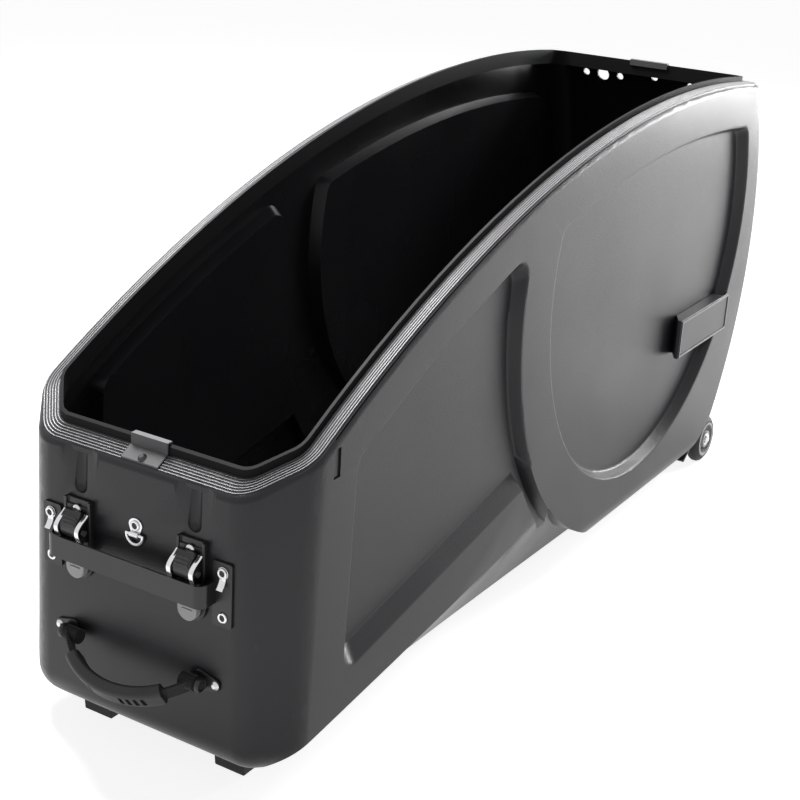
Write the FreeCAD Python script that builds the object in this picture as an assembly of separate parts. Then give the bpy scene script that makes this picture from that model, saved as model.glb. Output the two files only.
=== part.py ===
"""Base half of a hard bike travel case: formed shell, rim, buckles, handle, wheels and bike stand.

Lengths are in millimetres. +X runs from the low nose to the tall tail, +Y is the left side seen from in
front of the nose, +Z is up. The origin lies on the floor, midway between the handle and the tail.
"""
import FreeCAD
import Part
import math
import os

# Shell, overall
SHELL_LENGTH = 1441.0
SHELL_HALF_WIDTH = 204.0
WALL = 4.0
FLOOR_HEIGHT = 30.0
RIM_HEIGHT = 708.0
RIM_RADIUS = 2078.0
RIM_APEX = 1101.0
TAIL_RADIUS = 600.0
TAIL_HEIGHT = 408.0
FACET_LOW_HALF_WIDTH = 157.0
FACET_LOW_DEPTH = 48.0
FACET_LOW_HEIGHT = 100.0
FACET_TOP_HALF_WIDTH = 150.0
FACET_TOP_DEPTH = 67.0
FACET_TOP_HEIGHT = 420.0
FACET_EDGE_RADIUS = 44.0
TAIL_EDGE_RADIUS = 40.0
BOTTOM_EDGE_RADIUS = 40.5
SHOULDER_RADIUS = 12.0
OVERRUN = 60.0

# Mouth of the shell and the lip strip round it
MOUTH_MARGIN = 29.0
MOUTH_NOSE_HALF_WIDTH = 136.0
MOUTH_FACET_DEPTH = 72.0
MOUTH_TAIL = 1348.0
MOUTH_CORNER_RADIUS = 26.0
LIP_RISE = 8.0
LIP_DROP = 16.0
LIP_THICKNESS = 4.0
LEDGE_WIDTH = 14.0
LEDGE_STEP = 4.5
CATCH_LAND_MARGIN = 8.0

# Embossed wheel and tube motif in each side
RING_CENTRE = 982.0
RING_HEIGHT = 470.0
RING_INNER_RADIUS = 363.0
RING_OUTER_RADIUS = 450.0
EMBOSS_DEPTH = 18.0
EMBOSS_SLOPE = 8.0
EMBOSS_CORNER_RADIUS = 22.0
EMBOSS_EDGE_RADIUS = 6.0
DISC_MARGIN = 80.0
PANEL_MARGIN = 68.0
PANEL_FRONT = 146.0
PANEL_FRONT_LEAN = 12.0
PANEL_FOOT_FRONT = 126.0
PANEL_FOOT_REAR = 218.0
PANEL_FOOT_SLOPE = 20.0
GROOVE_WIDTH = 34.0
GROOVE_JOG = 1.5
GROOVE_START_ANGLE = 184.0
GROOVE_END_ANGLE = 238.0
CREASE_FRONT = 139.0
CREASE_FRONT_HEIGHT = 83.0
CREASE_REAR = 630.0
CREASE_REAR_HEIGHT = 156.0
BEVEL_FLOOR_HALF_WIDTH = 157.0

# Nose flutes and side slots
FLUTE_RADIUS = 10.0
FLUTE_DEPTH = 8.0
FLUTE_FOOT_SHARE = 0.872
HOLLOW_HALF_WIDTH = 31.0
HOLLOW_DEPTH = 5.0
HOLLOW_LENGTH = 58.0
SLOT_POSITION = 101.0
SLOT_WIDTH = 13.0
SLOT_TOP_DROP = 14.0
SLOT_LENGTH = 36.0
SLOT_DEPTH = 6.0

# Holes in the tail wall
VENT_OFFSET = 100.0
VENT_SPACING = 33.0
VENT_DROP = 51.0
VENT_RADIUS = 11.0
VENT_SIDE_RADIUS = 6.0
LOCK_HOLE_DROP = 44.0

# Fasteners: shank, head and washer sizes shared by the rivets and screws
FIT = 0.05
HOLE_PLAY = 0.5
RIVET_RADIUS = 2.4
RIVET_HEAD_RADIUS = 6.0
RIVET_HEAD = 2.4
RIVET_TAIL_RADIUS = 4.5
RIVET_TAIL = 2.0
SCREW_RADIUS = 2.5
SCREW_HEAD_RADIUS = 5.5
SCREW_HEAD = 3.0

# Buckles on the nose; rises are counted from the guard's middle line
BUCKLE_OFFSET = 84.0
BUCKLE_TOP_RISE = 57.0
BUCKLE_FOOT_RISE = -45.0
BASE_WIDTH = 40.0
BASE_THICKNESS = 4.0
BASE_RAIL = 3.0
FRAME_WIDTH = 32.0
FRAME_SHEET = 2.0
FRAME_TOP_RISE = 49.0
FRAME_FOOT_RISE = -9.0
ARM_TOP_RISE = 43.0
ARM_FOOT_RISE = -3.0
ARM_BULGE = 22.0
ARM_BULGE_RISE = 26.0
ARM_END_REACH = 9.0
PIN_RADIUS = 2.0
PIN_HEAD_RADIUS = 3.6
PIN_HEAD = 1.4
LEVER_PIN_RISE = 21.0
LEVER_PIN_STANDOFF = 13.0
STOP_PIN_RISE = 5.0
STOP_PIN_STANDOFF = 11.0
LEVER_WIDTH = 26.0
LEVER_TOP_RISE = 52.0
LEVER_THICKNESS = 6.0
LEVER_BARREL_RADIUS = 5.0
LEVER_TAB = 7.0
LEVER_TAB_THICKNESS = 4.0
LEVER_SLOT_WIDTH = 3.0
LEVER_SLOT_DEPTH = 1.6
LEVER_SLOT_SPACING = 6.5
PAWL_WIDTH = 12.0
SPRING_WIDTH = 10.0
SPRING_THICKNESS = 0.7
SPRING_FOOT = 5.0
SPRING_RISE = 6.0
SPRING_PLAY = 0.3
GUIDE_WIDTH = 27.0
GUIDE_TOP_RISE = -13.0
GUIDE_FOOT_RISE = -42.0
GUIDE_THICKNESS = 8.0
GUIDE_RIB = 1.2
GUIDE_RIB_SPACING = 5.0
GUIDE_RIB_COUNT = 3

# Guard bar over the buckles
GUARD_HEIGHT_SHARE = 0.6659
GUARD_WIDTH = 28.0
GUARD_STANDOFF = 27.0
GUARD_SHEET = 3.0
GUARD_LEG_OFFSET = 116.0
GUARD_BEND_RADIUS = 12.0
GUARD_FOOT_WIDTH = 24.0
GUARD_FOOT_HEIGHT = 80.0
GUARD_RIVET_SPREAD = 56.0
TAB_WIDTH = 12.0
TAB_LENGTH = 34.0
TAB_SHEET = 1.5
TAB_BEND = 7.0

# Tie ring between the buckles
CLIP_HEIGHT_SHARE = 0.7991
CLIP_WIDTH = 20.0
CLIP_LENGTH = 18.0
CLIP_SHEET = 1.6
RING_WIRE_RADIUS = 1.8
RING_HALF_WIDTH = 12.0
CLIP_BARREL_WALL = 1.4

# Carry handle
HANDLE_HEIGHT_SHARE = 0.3287
HANDLE_HALF_SPAN = 94.0
HANDLE_BOW = 46.0
HANDLE_DROOP = 35.0
HANDLE_AXIS_STANDOFF = 12.0
STRAP_WIDTH = 20.0
STRAP_THICKNESS = 4.0
GRIP_HALF_LENGTH = 72.0
GRIP_WIDTH = 27.0
GRIP_THICKNESS = 17.0
GRIP_EDGE_RADIUS = 6.0
GRIP_SLOT_WIDTH = 5.0
GRIP_SLOT_DEPTH = 3.0
GRIP_SLOT_SPACING = 9.0
GRIP_SLOT_COUNT = 4
GRIP_PLAY = 0.1
TRUNNION_RADIUS = 6.0
EYE_WALL = 4.0
EYE_LENGTH = 13.0
BRACKET_PLATE = 3.0
BRACKET_WIDTH = 40.0
BRACKET_HEIGHT = 34.0
BRACKET_SCREW_INSET = 9.0

# Feet under the nose
FOOT_POSITION = 82.0
FOOT_OFFSET = 104.0
FOOT_LENGTH = 36.0
FOOT_WIDTH = 50.0
FOOT_TAPER = 4.0
FOOT_SCREW_DEPTH = 14.0

# Wheels under the tail
WHEEL_RADIUS = 43.0
WHEEL_TAIL_REACH = 12.8
WHEEL_WIDTH = 24.0
WHEEL_SIDE_INSET = 7.0
TYRE_THICKNESS = 12.0
TYRE_ROUND = 9.0
HUB_WEB = 8.0
HUB_RIM = 4.0
HUB_BOSS_WALL = 4.0
SPOKE_COUNT = 5
SPOKE_WINDOW_RADIUS = 5.5
BEARING_RADIUS = 11.0
BEARING_BORE = 4.0
BEARING_WIDTH = 7.0
AXLE_HEAD_RADIUS = 8.0
AXLE_HEAD = 4.0
AXLE_NUT = 5.0
NOTCH_LOW_REACH = 105.0
NOTCH_LOW_HEIGHT = 35.0
NOTCH_HIGH_REACH = 20.0
NOTCH_HIGH_HEIGHT = 118.0
NOTCH_DEPTH = 46.0
BRACKET_SHEET = 4.0
BRACKET_BOLT_INSET = 24.0
CHEEK_MARGIN = 18.0

# Blank side plates
BADGE_FRONT = 1108.0
BADGE_LENGTH = 212.0
BADGE_HEIGHT = 66.0
BADGE_MIDDLE = 292.0
BADGE_FACE = 3.0
BADGE_CLEARANCE = 0.4

# Rim catch plates
CATCH_WIDTH = 54.0
REAR_CATCH_WIDTH = 70.0
CATCH_SHEET = 2.5
CATCH_REACH = 20.0
CATCH_SKIRT = 12.0
CATCH_SCREW_REACH = 13.0

# Bike stand on the case floor
RAIL_FRONT = 150.0
RAIL_LENGTH = 930.0
RAIL_WIDTH = 44.0
RAIL_HEIGHT = 20.0
RAIL_WALL = 3.0
RAIL_SLOT = 16.0
RAIL_BOLT_INSET = 60.0
CARRIAGE_LENGTH = 70.0
CARRIAGE_PLATE = 8.0
CARRIAGE_PLAY = 0.3
CLAMP_BOLT_RADIUS = 4.0
CLAMP_HEAD_RADIUS = 10.0
CLAMP_HEAD = 5.0
CLAMP_OFFSET = 24.0
FORK_POSITION = 270.0
FORK_HEIGHT = 100.0
FORK_HALF_WIDTH = 50.0
FORK_TUBE_RADIUS = 12.0
FORK_POST = 28.0
SKEWER_RADIUS = 2.5
SKEWER_BORE = 2.8
FORK_STUB_RADIUS = 4.5
FORK_STUB = 4.5
FORK_END_ROOM = 6.0
SKEWER_NUT_RADIUS = 9.0
SKEWER_NUT = 12.0
SKEWER_END = 28.0
CAM_RADIUS = 8.0
CAM_HALF_WIDTH = 7.0
CAM_PIN_RADIUS = 3.0
SKEWER_LEVER_LENGTH = 52.0
SKEWER_LEVER_THICKNESS = 5.0
CRADLE_POSITION = 800.0
CRADLE_HEIGHT = 118.0
CRADLE_HALF_WIDTH = 30.0
CRADLE_POST = 32.0
CRADLE_SADDLE_RADIUS = 26.0
CRADLE_WALL = 6.0
PAD_THICKNESS = 4.0

V = FreeCAD.Vector
ALONG_X = V(1, 0, 0)
ALONG_Y = V(0, 1, 0)
ALONG_Z = V(0, 0, 1)
ORIGIN = V(0, 0, 0)
parts = {}


# Shared shape helpers

def block(x0, x1, y0, y1, z0, z1):
    """Box between two corners."""
    return Part.makeBox(x1 - x0, y1 - y0, z1 - z0, V(x0, y0, z0))


def rod(radius, start, end):
    """Cylinder between two points."""
    along = end - start
    return Part.makeCylinder(radius, along.Length, start, along)


def prism(points, y0, y1):
    """Polygon in the XZ plane, drawn out along Y."""
    wire = Part.makePolygon([V(x, y0, z) for x, z in points + points[:1]])
    return Part.Face(wire).extrude(V(0, y1 - y0, 0))


def turned(profile, start, direction):
    """Solid of revolution: profile is (radius, distance) pairs along the direction from start."""
    wire = Part.makePolygon([V(r, 0, d) for r, d in profile + profile[:1]])
    solid = Part.Face(wire).revolve(ORIGIN, ALONG_Z, 360)
    solid.Placement = FreeCAD.Placement(start, FreeCAD.Rotation(ALONG_Z, direction))
    return solid


def mirrored(shape):
    """The same shape on the other side of the case."""
    return shape.mirror(ORIGIN, ALONG_Y)


def group(shapes):
    """Several separate solids of one kind."""
    return Part.makeCompound(shapes)


def joined(shapes):
    """One solid from shapes that meet."""
    return shapes[0].multiFuse(shapes[1:]).removeSplitter()


def less(shape, tools):
    """Shape with every tool cut away."""
    return shape.cut(tools)


def pair(name, right):
    """Save a right-hand piece and its mirrored left-hand twin."""
    parts[name + "_right"] = right
    parts[name + "_left"] = mirrored(right)


# Places worked out from the driving dimensions

LEDGE_RADIUS = RIM_RADIUS - LIP_RISE
RIM_CENTRE_Z = RIM_HEIGHT - RIM_RADIUS
HANDLE_DROOP_RAD = math.radians(HANDLE_DROOP)
GRIP_FLAT_OUT = HANDLE_BOW + GRIP_THICKNESS / 2 - GRIP_EDGE_RADIUS
GRIP_FLAT_ACROSS = GRIP_WIDTH / 2 - GRIP_EDGE_RADIUS
HANDLE_REACH = (HANDLE_AXIS_STANDOFF + GRIP_FLAT_OUT * math.cos(HANDLE_DROOP_RAD)
                + GRIP_FLAT_ACROSS * math.sin(HANDLE_DROOP_RAD) + GRIP_EDGE_RADIUS)
NOSE = HANDLE_REACH - (SHELL_LENGTH + HANDLE_REACH) / 2


def at(distance):
    """X of a place that lies this far behind the nose."""
    return NOSE + distance


def out(standoff):
    """X of a place that stands this far in front of the nose."""
    return NOSE - standoff


def rim_z(x, radius):
    """Height of the rim arc of this radius over a place on the X axis."""
    return RIM_CENTRE_Z + math.sqrt(radius ** 2 - (x - at(RIM_APEX)) ** 2)


def tail_x(z, inset):
    """X of the tail arc at this height."""
    centre = at(SHELL_LENGTH - TAIL_RADIUS)
    return centre + math.sqrt((TAIL_RADIUS - inset) ** 2 - (z - TAIL_HEIGHT) ** 2)


NOSE_WALL = rim_z(NOSE, LEDGE_RADIUS) - FLOOR_HEIGHT
GUARD_HEIGHT = FLOOR_HEIGHT + NOSE_WALL * GUARD_HEIGHT_SHARE
CLIP_HEIGHT = FLOOR_HEIGHT + NOSE_WALL * CLIP_HEIGHT_SHARE
HANDLE_HEIGHT = FLOOR_HEIGHT + NOSE_WALL * HANDLE_HEIGHT_SHARE
FLUTE_FOOT_HEIGHT = FLOOR_HEIGHT + NOSE_WALL * FLUTE_FOOT_SHARE
BUCKLE_TOP = GUARD_HEIGHT + BUCKLE_TOP_RISE
BUCKLE_FOOT = GUARD_HEIGHT + BUCKLE_FOOT_RISE
FRAME_TOP = GUARD_HEIGHT + FRAME_TOP_RISE
FRAME_FOOT = GUARD_HEIGHT + FRAME_FOOT_RISE
ARM_TOP = GUARD_HEIGHT + ARM_TOP_RISE
ARM_FOOT = GUARD_HEIGHT + ARM_FOOT_RISE
ARM_BULGE_HEIGHT = GUARD_HEIGHT + ARM_BULGE_RISE
LEVER_PIN_HEIGHT = GUARD_HEIGHT + LEVER_PIN_RISE
STOP_PIN_HEIGHT = GUARD_HEIGHT + STOP_PIN_RISE
LEVER_TOP = GUARD_HEIGHT + LEVER_TOP_RISE
GUIDE_TOP = GUARD_HEIGHT + GUIDE_TOP_RISE
GUIDE_FOOT = GUARD_HEIGHT + GUIDE_FOOT_RISE
SLOT_TOP = rim_z(at(SLOT_POSITION), LEDGE_RADIUS) - SLOT_TOP_DROP
SLOT_FOOT = SLOT_TOP - SLOT_LENGTH
WHEEL_X = tail_x(WHEEL_RADIUS, 0) + WHEEL_TAIL_REACH
WHEEL_OUTER = SHELL_HALF_WIDTH - WHEEL_SIDE_INSET
NOTCH_INNER = SHELL_HALF_WIDTH - NOTCH_DEPTH


def circles_meet(ax, az, ar, bx, bz, br):
    """Right-hand crossing of two circles in the XZ plane."""
    gap = math.hypot(bx - ax, bz - az)
    along = (ar ** 2 - br ** 2 + gap ** 2) / (2 * gap)
    across = math.sqrt(ar ** 2 - along ** 2)
    ux = (bx - ax) / gap
    uz = (bz - az) / gap
    first = (ax + along * ux - across * uz, az + along * uz + across * ux)
    second = (ax + along * ux + across * uz, az + along * uz - across * ux)
    return max(first, second)


def arc_xz(centre, radius, start, end, y):
    """Short arc in the XZ plane between two points on one circle."""
    cx, cz = centre
    mid_x = (start[0] + end[0]) / 2 - cx
    mid_z = (start[1] + end[1]) / 2 - cz
    scale = radius / math.hypot(mid_x, mid_z)
    middle = V(cx + mid_x * scale, y, cz + mid_z * scale)
    return Part.Arc(V(start[0], y, start[1]), middle, V(end[0], y, end[1])).toShape()


def line_xz(start, end, y):
    """Straight edge in the XZ plane."""
    return Part.makeLine(V(start[0], y, start[1]), V(end[0], y, end[1]))


# Shell: a tub that can be made smaller by an inset, so the inside follows the outside

def facet_cutter(inset):
    """Twisted corner facet beside the nose, for the right side."""
    def corner_line(half_width, depth):
        along_x = depth
        along_y = SHELL_HALF_WIDTH - half_width
        length = math.hypot(along_x, along_y)
        shift_x = inset * along_y / length
        shift_y = -inset * along_x / length
        reach = OVERRUN / length
        start = (shift_x - along_x * reach, half_width + shift_y - along_y * reach)
        end = (shift_x + along_x * (1 + reach), half_width + shift_y + along_y * (1 + reach))
        return start, end

    low = corner_line(FACET_LOW_HALF_WIDTH, FACET_LOW_DEPTH)
    top = corner_line(FACET_TOP_HALF_WIDTH, FACET_TOP_DEPTH)
    wires = []
    for z in (FLOOR_HEIGHT - OVERRUN, RIM_HEIGHT):
        share = (z - FACET_LOW_HEIGHT) / (FACET_TOP_HEIGHT - FACET_LOW_HEIGHT)
        points = []
        for (lx, ly), (tx, ty) in zip(low, top):
            points.append(V(at(lx + (tx - lx) * share), -(ly + (ty - ly) * share), z))
        points.append(V(points[0].x, points[1].y, z))
        wires.append(Part.makePolygon(points + points[:1]))
    return Part.makeLoft(wires, True, True)


def tub_profile(inset):
    """Side outline: nose, ledge arc, tail arc and floor."""
    half = SHELL_HALF_WIDTH - inset
    floor = FLOOR_HEIGHT + inset
    tail_centre = (at(SHELL_LENGTH - TAIL_RADIUS), TAIL_HEIGHT)
    rim_centre = (at(RIM_APEX), RIM_CENTRE_Z)
    nose_low = (at(inset), floor)
    nose_top = (at(inset), rim_z(at(inset), LEDGE_RADIUS - inset))
    tail_top = circles_meet(*rim_centre, LEDGE_RADIUS - inset, *tail_centre, TAIL_RADIUS - inset)
    tail_low = (tail_x(floor, inset), floor)
    edges = [
        line_xz(nose_low, nose_top, -half),
        arc_xz(rim_centre, LEDGE_RADIUS - inset, nose_top, tail_top, -half),
        arc_xz(tail_centre, TAIL_RADIUS - inset, tail_top, tail_low, -half),
        line_xz(tail_low, nose_low, -half),
    ]
    return Part.Face(Part.Wire(edges)).extrude(V(0, half * 2, 0))


def rounded(shape, radius, wanted):
    """Round every edge that the test picks out."""
    return shape.makeFillet(radius, [edge for edge in shape.Edges if wanted(edge)])


def tub(inset):
    """Plain tub with rounded edges, before any embossing."""
    body = tub_profile(inset)
    cutter = facet_cutter(inset)
    body = less(body, [cutter, mirrored(cutter)])
    floor = FLOOR_HEIGHT + inset
    tall = RIM_HEIGHT / 3

    def spans_height(edge):
        return edge.BoundBox.ZLength > tall and edge.BoundBox.YLength < SHELL_HALF_WIDTH / 2

    def is_facet_edge(edge):
        return spans_height(edge) and edge.BoundBox.XMax < at(FACET_TOP_DEPTH * 2)

    def is_tail_edge(edge):
        return spans_height(edge) and edge.BoundBox.XMin > at(SHELL_LENGTH / 2)

    def is_floor_edge(edge):
        return edge.BoundBox.ZMax < floor + FIT

    def is_ledge_edge(edge):
        ends = [vertex.Point for vertex in edge.Vertexes]
        gaps = [abs(p.z - rim_z(p.x, LEDGE_RADIUS - inset)) for p in ends]
        return max(gaps) < FIT

    body = rounded(body, FACET_EDGE_RADIUS - inset, is_facet_edge)
    body = rounded(body, TAIL_EDGE_RADIUS - inset, is_tail_edge)
    body = rounded(body, BOTTOM_EDGE_RADIUS - inset, is_floor_edge)
    return rounded(body, SHOULDER_RADIUS - inset, is_ledge_edge)


def softened(wire):
    """The same outline with round corners."""
    return wire.makeOffset2D(-EMBOSS_CORNER_RADIUS).makeOffset2D(EMBOSS_CORNER_RADIUS)


def disc_wire(y, grow):
    """Wheel outline: a circle cut off by an arc that runs along the rim."""
    cx = at(RING_CENTRE)
    radius = RING_INNER_RADIUS + grow
    top_radius = RIM_RADIUS - DISC_MARGIN + grow
    rim_centre = (at(RIM_APEX), RIM_CENTRE_Z)
    right = circles_meet(*rim_centre, top_radius, cx, RING_HEIGHT, radius)
    left_x, left_z = circles_meet(-rim_centre[0], rim_centre[1], top_radius, -cx, RING_HEIGHT, radius)
    left = (-left_x, left_z)
    foot = (cx, RING_HEIGHT - radius)
    edges = [
        arc_xz(rim_centre, top_radius, left, right, y),
        arc_xz((cx, RING_HEIGHT), radius, right, foot, y),
        arc_xz((cx, RING_HEIGHT), radius, foot, left, y),
    ]
    return softened(Part.Wire(edges))


def panel_wire(y, grow, foot_grow):
    """Panel between nose and wheel: front line, rim arc, wheel arc and tube line."""
    rim_centre = (at(RIM_APEX), RIM_CENTRE_Z)
    ring = (at(RING_CENTRE), RING_HEIGHT)
    top_radius = RIM_RADIUS - PANEL_MARGIN + grow
    ring_radius = RING_OUTER_RADIUS - grow
    top_front_x = at(PANEL_FRONT) - grow
    top_front = (top_front_x, rim_z(top_front_x, top_radius))
    left_x, left_z = circles_meet(-rim_centre[0], rim_centre[1], top_radius, -ring[0], ring[1], ring_radius)
    top_rear = (-left_x, left_z)
    foot_rear_z = PANEL_FOOT_REAR - foot_grow
    foot_rear = (ring[0] - math.sqrt(ring_radius ** 2 - (foot_rear_z - ring[1]) ** 2), foot_rear_z)
    foot_front = (at(PANEL_FRONT - PANEL_FRONT_LEAN) - grow, PANEL_FOOT_FRONT - foot_grow)
    edges = [
        line_xz(foot_front, top_front, y),
        arc_xz(rim_centre, top_radius, top_front, top_rear, y),
        arc_xz(ring, ring_radius, top_rear, foot_rear, y),
        line_xz(foot_rear, foot_front, y),
    ]
    return softened(Part.Wire(edges))


def pressed(body, outlines, edge_radius):
    """Body with one sloped recess pressed into both sides, from its mouth to its floor, edges rounded."""
    for lines in (outlines, [mirrored(line) for line in outlines]):
        body = body.cut(Part.makeLoft(lines, True, True))
        if edge_radius:
            edges = []
            for edge in body.Edges:
                middle = Part.Vertex(edge.valueAt((edge.FirstParameter + edge.LastParameter) / 2))
                if min(line.distToShape(middle)[0] for line in lines) < FIT:
                    edges.append(edge)
            body = body.makeFillet(edge_radius, edges)
    return body


def pressed_wheel(body, inset, edge_radius):
    """Body with the wheel and the panel in front of it pressed into both sides."""
    mouth = -SHELL_HALF_WIDTH
    floor = mouth + EMBOSS_DEPTH + inset
    inward = inset - EMBOSS_SLOPE
    disc = [disc_wire(mouth, inset), disc_wire(floor, inward)]
    panel = [panel_wire(mouth, inset, inset), panel_wire(floor, inward, inset - PANEL_FOOT_SLOPE)]
    return pressed(pressed(body, disc, edge_radius), panel, edge_radius)


def side_cuts(inset):
    """What else is taken out of the right side: groove round the wheel, lower bevel and slot."""
    half = SHELL_HALF_WIDTH
    slope = EMBOSS_SLOPE
    floor = -half + EMBOSS_DEPTH + inset
    ring_axis = V(at(RING_CENTRE), 0, RING_HEIGHT)
    inner = RING_OUTER_RADIUS + GROOVE_JOG - inset
    outer = RING_OUTER_RADIUS + GROOVE_WIDTH + inset
    groove_points = [(inner, -half), (outer, -half), (outer - slope, floor), (inner + slope, floor)]
    groove_wire = Part.makePolygon([ring_axis + V(r, y, 0) for r, y in groove_points + groove_points[:1]])
    groove = Part.Face(groove_wire)
    groove.rotate(ring_axis, ALONG_Y, -GROOVE_START_ANGLE)
    groove = groove.revolve(ring_axis, ALONG_Y, GROOVE_START_ANGLE - GROOVE_END_ANGLE)
    slot = block(at(SLOT_POSITION) - SLOT_WIDTH / 2 - inset, at(SLOT_POSITION) + SLOT_WIDTH / 2 + inset,
                 -half, -half + SLOT_DEPTH + inset, SLOT_FOOT - inset, SLOT_TOP + inset)
    return [groove, lower_bevel(inset), slot]


def lower_bevel(inset):
    """Twisted facet between the crease under the tube line and the floor, in front of the wheel."""
    rise = (CREASE_REAR_HEIGHT - CREASE_FRONT_HEIGHT) / (CREASE_REAR - CREASE_FRONT)
    wires = []
    for distance in (-OVERRUN, RING_CENTRE):
        crease = V(at(distance), -SHELL_HALF_WIDTH, CREASE_FRONT_HEIGHT + (distance - CREASE_FRONT) * rise)
        foot = V(at(distance), -BEVEL_FLOOR_HALF_WIDTH, FLOOR_HEIGHT)
        down = (foot - crease).normalize()
        inward = ALONG_X.cross(down) * inset
        top = crease + inward - down * OVERRUN
        low = foot + inward + down * OVERRUN
        corners = [top, low, V(top.x, top.y - OVERRUN, low.z), V(top.x, top.y - OVERRUN, top.z)]
        wires.append(Part.makePolygon(corners + corners[:1]))
    wedge = Part.makeLoft(wires, True, True)
    ring = rod(RING_OUTER_RADIUS - inset, V(at(RING_CENTRE), -SHELL_HALF_WIDTH * 2, RING_HEIGHT),
               V(at(RING_CENTRE), 0, RING_HEIGHT))
    return wedge.cut(ring)


def flute(inset):
    """Upright groove above the right buckle, closed by a round foot."""
    x = out(FLUTE_RADIUS - FLUTE_DEPTH)
    foot = V(x, -BUCKLE_OFFSET, FLUTE_FOOT_HEIGHT)
    radius = FLUTE_RADIUS + inset
    return joined([rod(radius, foot, V(x, -BUCKLE_OFFSET, RIM_HEIGHT)), Part.makeSphere(radius, foot)])


def hollow(inset):
    """Wide shallow hollow round the flute, which fades out downwards."""
    radius = (HOLLOW_HALF_WIDTH ** 2 + HOLLOW_DEPTH ** 2) / (2 * HOLLOW_DEPTH)
    top = FLOOR_HEIGHT + NOSE_WALL
    foot = V(out(radius), -BUCKLE_OFFSET, top - HOLLOW_LENGTH)
    lean = V(HOLLOW_DEPTH, 0, HOLLOW_LENGTH)
    return rod(radius + inset, foot - lean, foot + lean * 2)


def notch_line(shift):
    """Two points of the slanting notch line over a wheel, moved up and forward by a shift."""
    dx = NOTCH_HIGH_REACH + NOTCH_LOW_REACH
    dz = NOTCH_HIGH_HEIGHT - NOTCH_LOW_HEIGHT
    length = math.hypot(dx, dz)
    ux = dx / length
    uz = dz / length
    low = (WHEEL_X - NOTCH_LOW_REACH - uz * shift, NOTCH_LOW_HEIGHT + ux * shift)
    high = (low[0] + dx, low[1] + dz)
    return low, high, ux, uz


def wheel_notch(inset):
    """Corner of the right rear foot, cut away for a wheel."""
    low, high, ux, uz = notch_line(inset)
    start = (low[0] - ux * OVERRUN, low[1] - uz * OVERRUN)
    end = (high[0] + ux * OVERRUN, high[1] + uz * OVERRUN)
    points = [start, end, (end[0], start[1] - OVERRUN), (start[0], start[1] - OVERRUN)]
    return prism(points, -SHELL_HALF_WIDTH - OVERRUN, -NOTCH_INNER + inset)


def mouth_solid(grow):
    """Upright prism over the mouth outline, moved outward by a growth."""
    half = SHELL_HALF_WIDTH - MOUTH_MARGIN
    points = [(MOUTH_MARGIN, MOUTH_NOSE_HALF_WIDTH), (MOUTH_FACET_DEPTH, half), (MOUTH_TAIL, half)]
    outline = points + [(x, -y) for x, y in reversed(points)]
    wire = Part.makePolygon([V(at(x), y, FLOOR_HEIGHT * 2) for x, y in outline + outline[:1]])
    rounded_wire = wire.makeOffset2D(-MOUTH_CORNER_RADIUS).makeOffset2D(MOUTH_CORNER_RADIUS + grow)
    return Part.Face(rounded_wire).extrude(V(0, 0, RIM_HEIGHT + OVERRUN))


def under_arc(radius):
    """Everything below a rim arc."""
    axis = V(at(RIM_APEX), -SHELL_HALF_WIDTH * 2, RIM_CENTRE_Z)
    return Part.makeCylinder(radius, SHELL_HALF_WIDTH * 4, axis, ALONG_Y)


def rim_step(inset):
    """What is taken off outside the ledge, from the side slots round to the catch land at the tail."""
    front = at(SLOT_POSITION) - inset
    rear = at(SHELL_LENGTH + OVERRUN)
    half = SHELL_HALF_WIDTH * 2
    land = REAR_CATCH_WIDTH / 2 + CATCH_LAND_MARGIN - inset
    around = block(front, rear, -half, half, FLOOR_HEIGHT, RIM_HEIGHT + OVERRUN)
    return around.cut([mouth_solid(LIP_THICKNESS + LEDGE_WIDTH - inset),
                       under_arc(LEDGE_RADIUS - LEDGE_STEP - inset),
                       block(at(MOUTH_TAIL), rear, -land, land, FLOOR_HEIGHT, RIM_HEIGHT + OVERRUN)])


def embossed_tub(inset, edge_radius):
    """Tub with its side recesses, flutes, wheel notches and rim step."""
    body = pressed_wheel(tub(inset), inset, edge_radius)
    for tool in side_cuts(inset) + [hollow(inset), flute(inset), wheel_notch(inset)]:
        body = body.cut(tool).cut(mirrored(tool))
    return body.cut(rim_step(inset))


def nose_hole(y, z, radius):
    """Tool for a hole through the nose wall."""
    return rod(radius, V(out(OVERRUN), y, z), V(at(OVERRUN), y, z))


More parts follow.
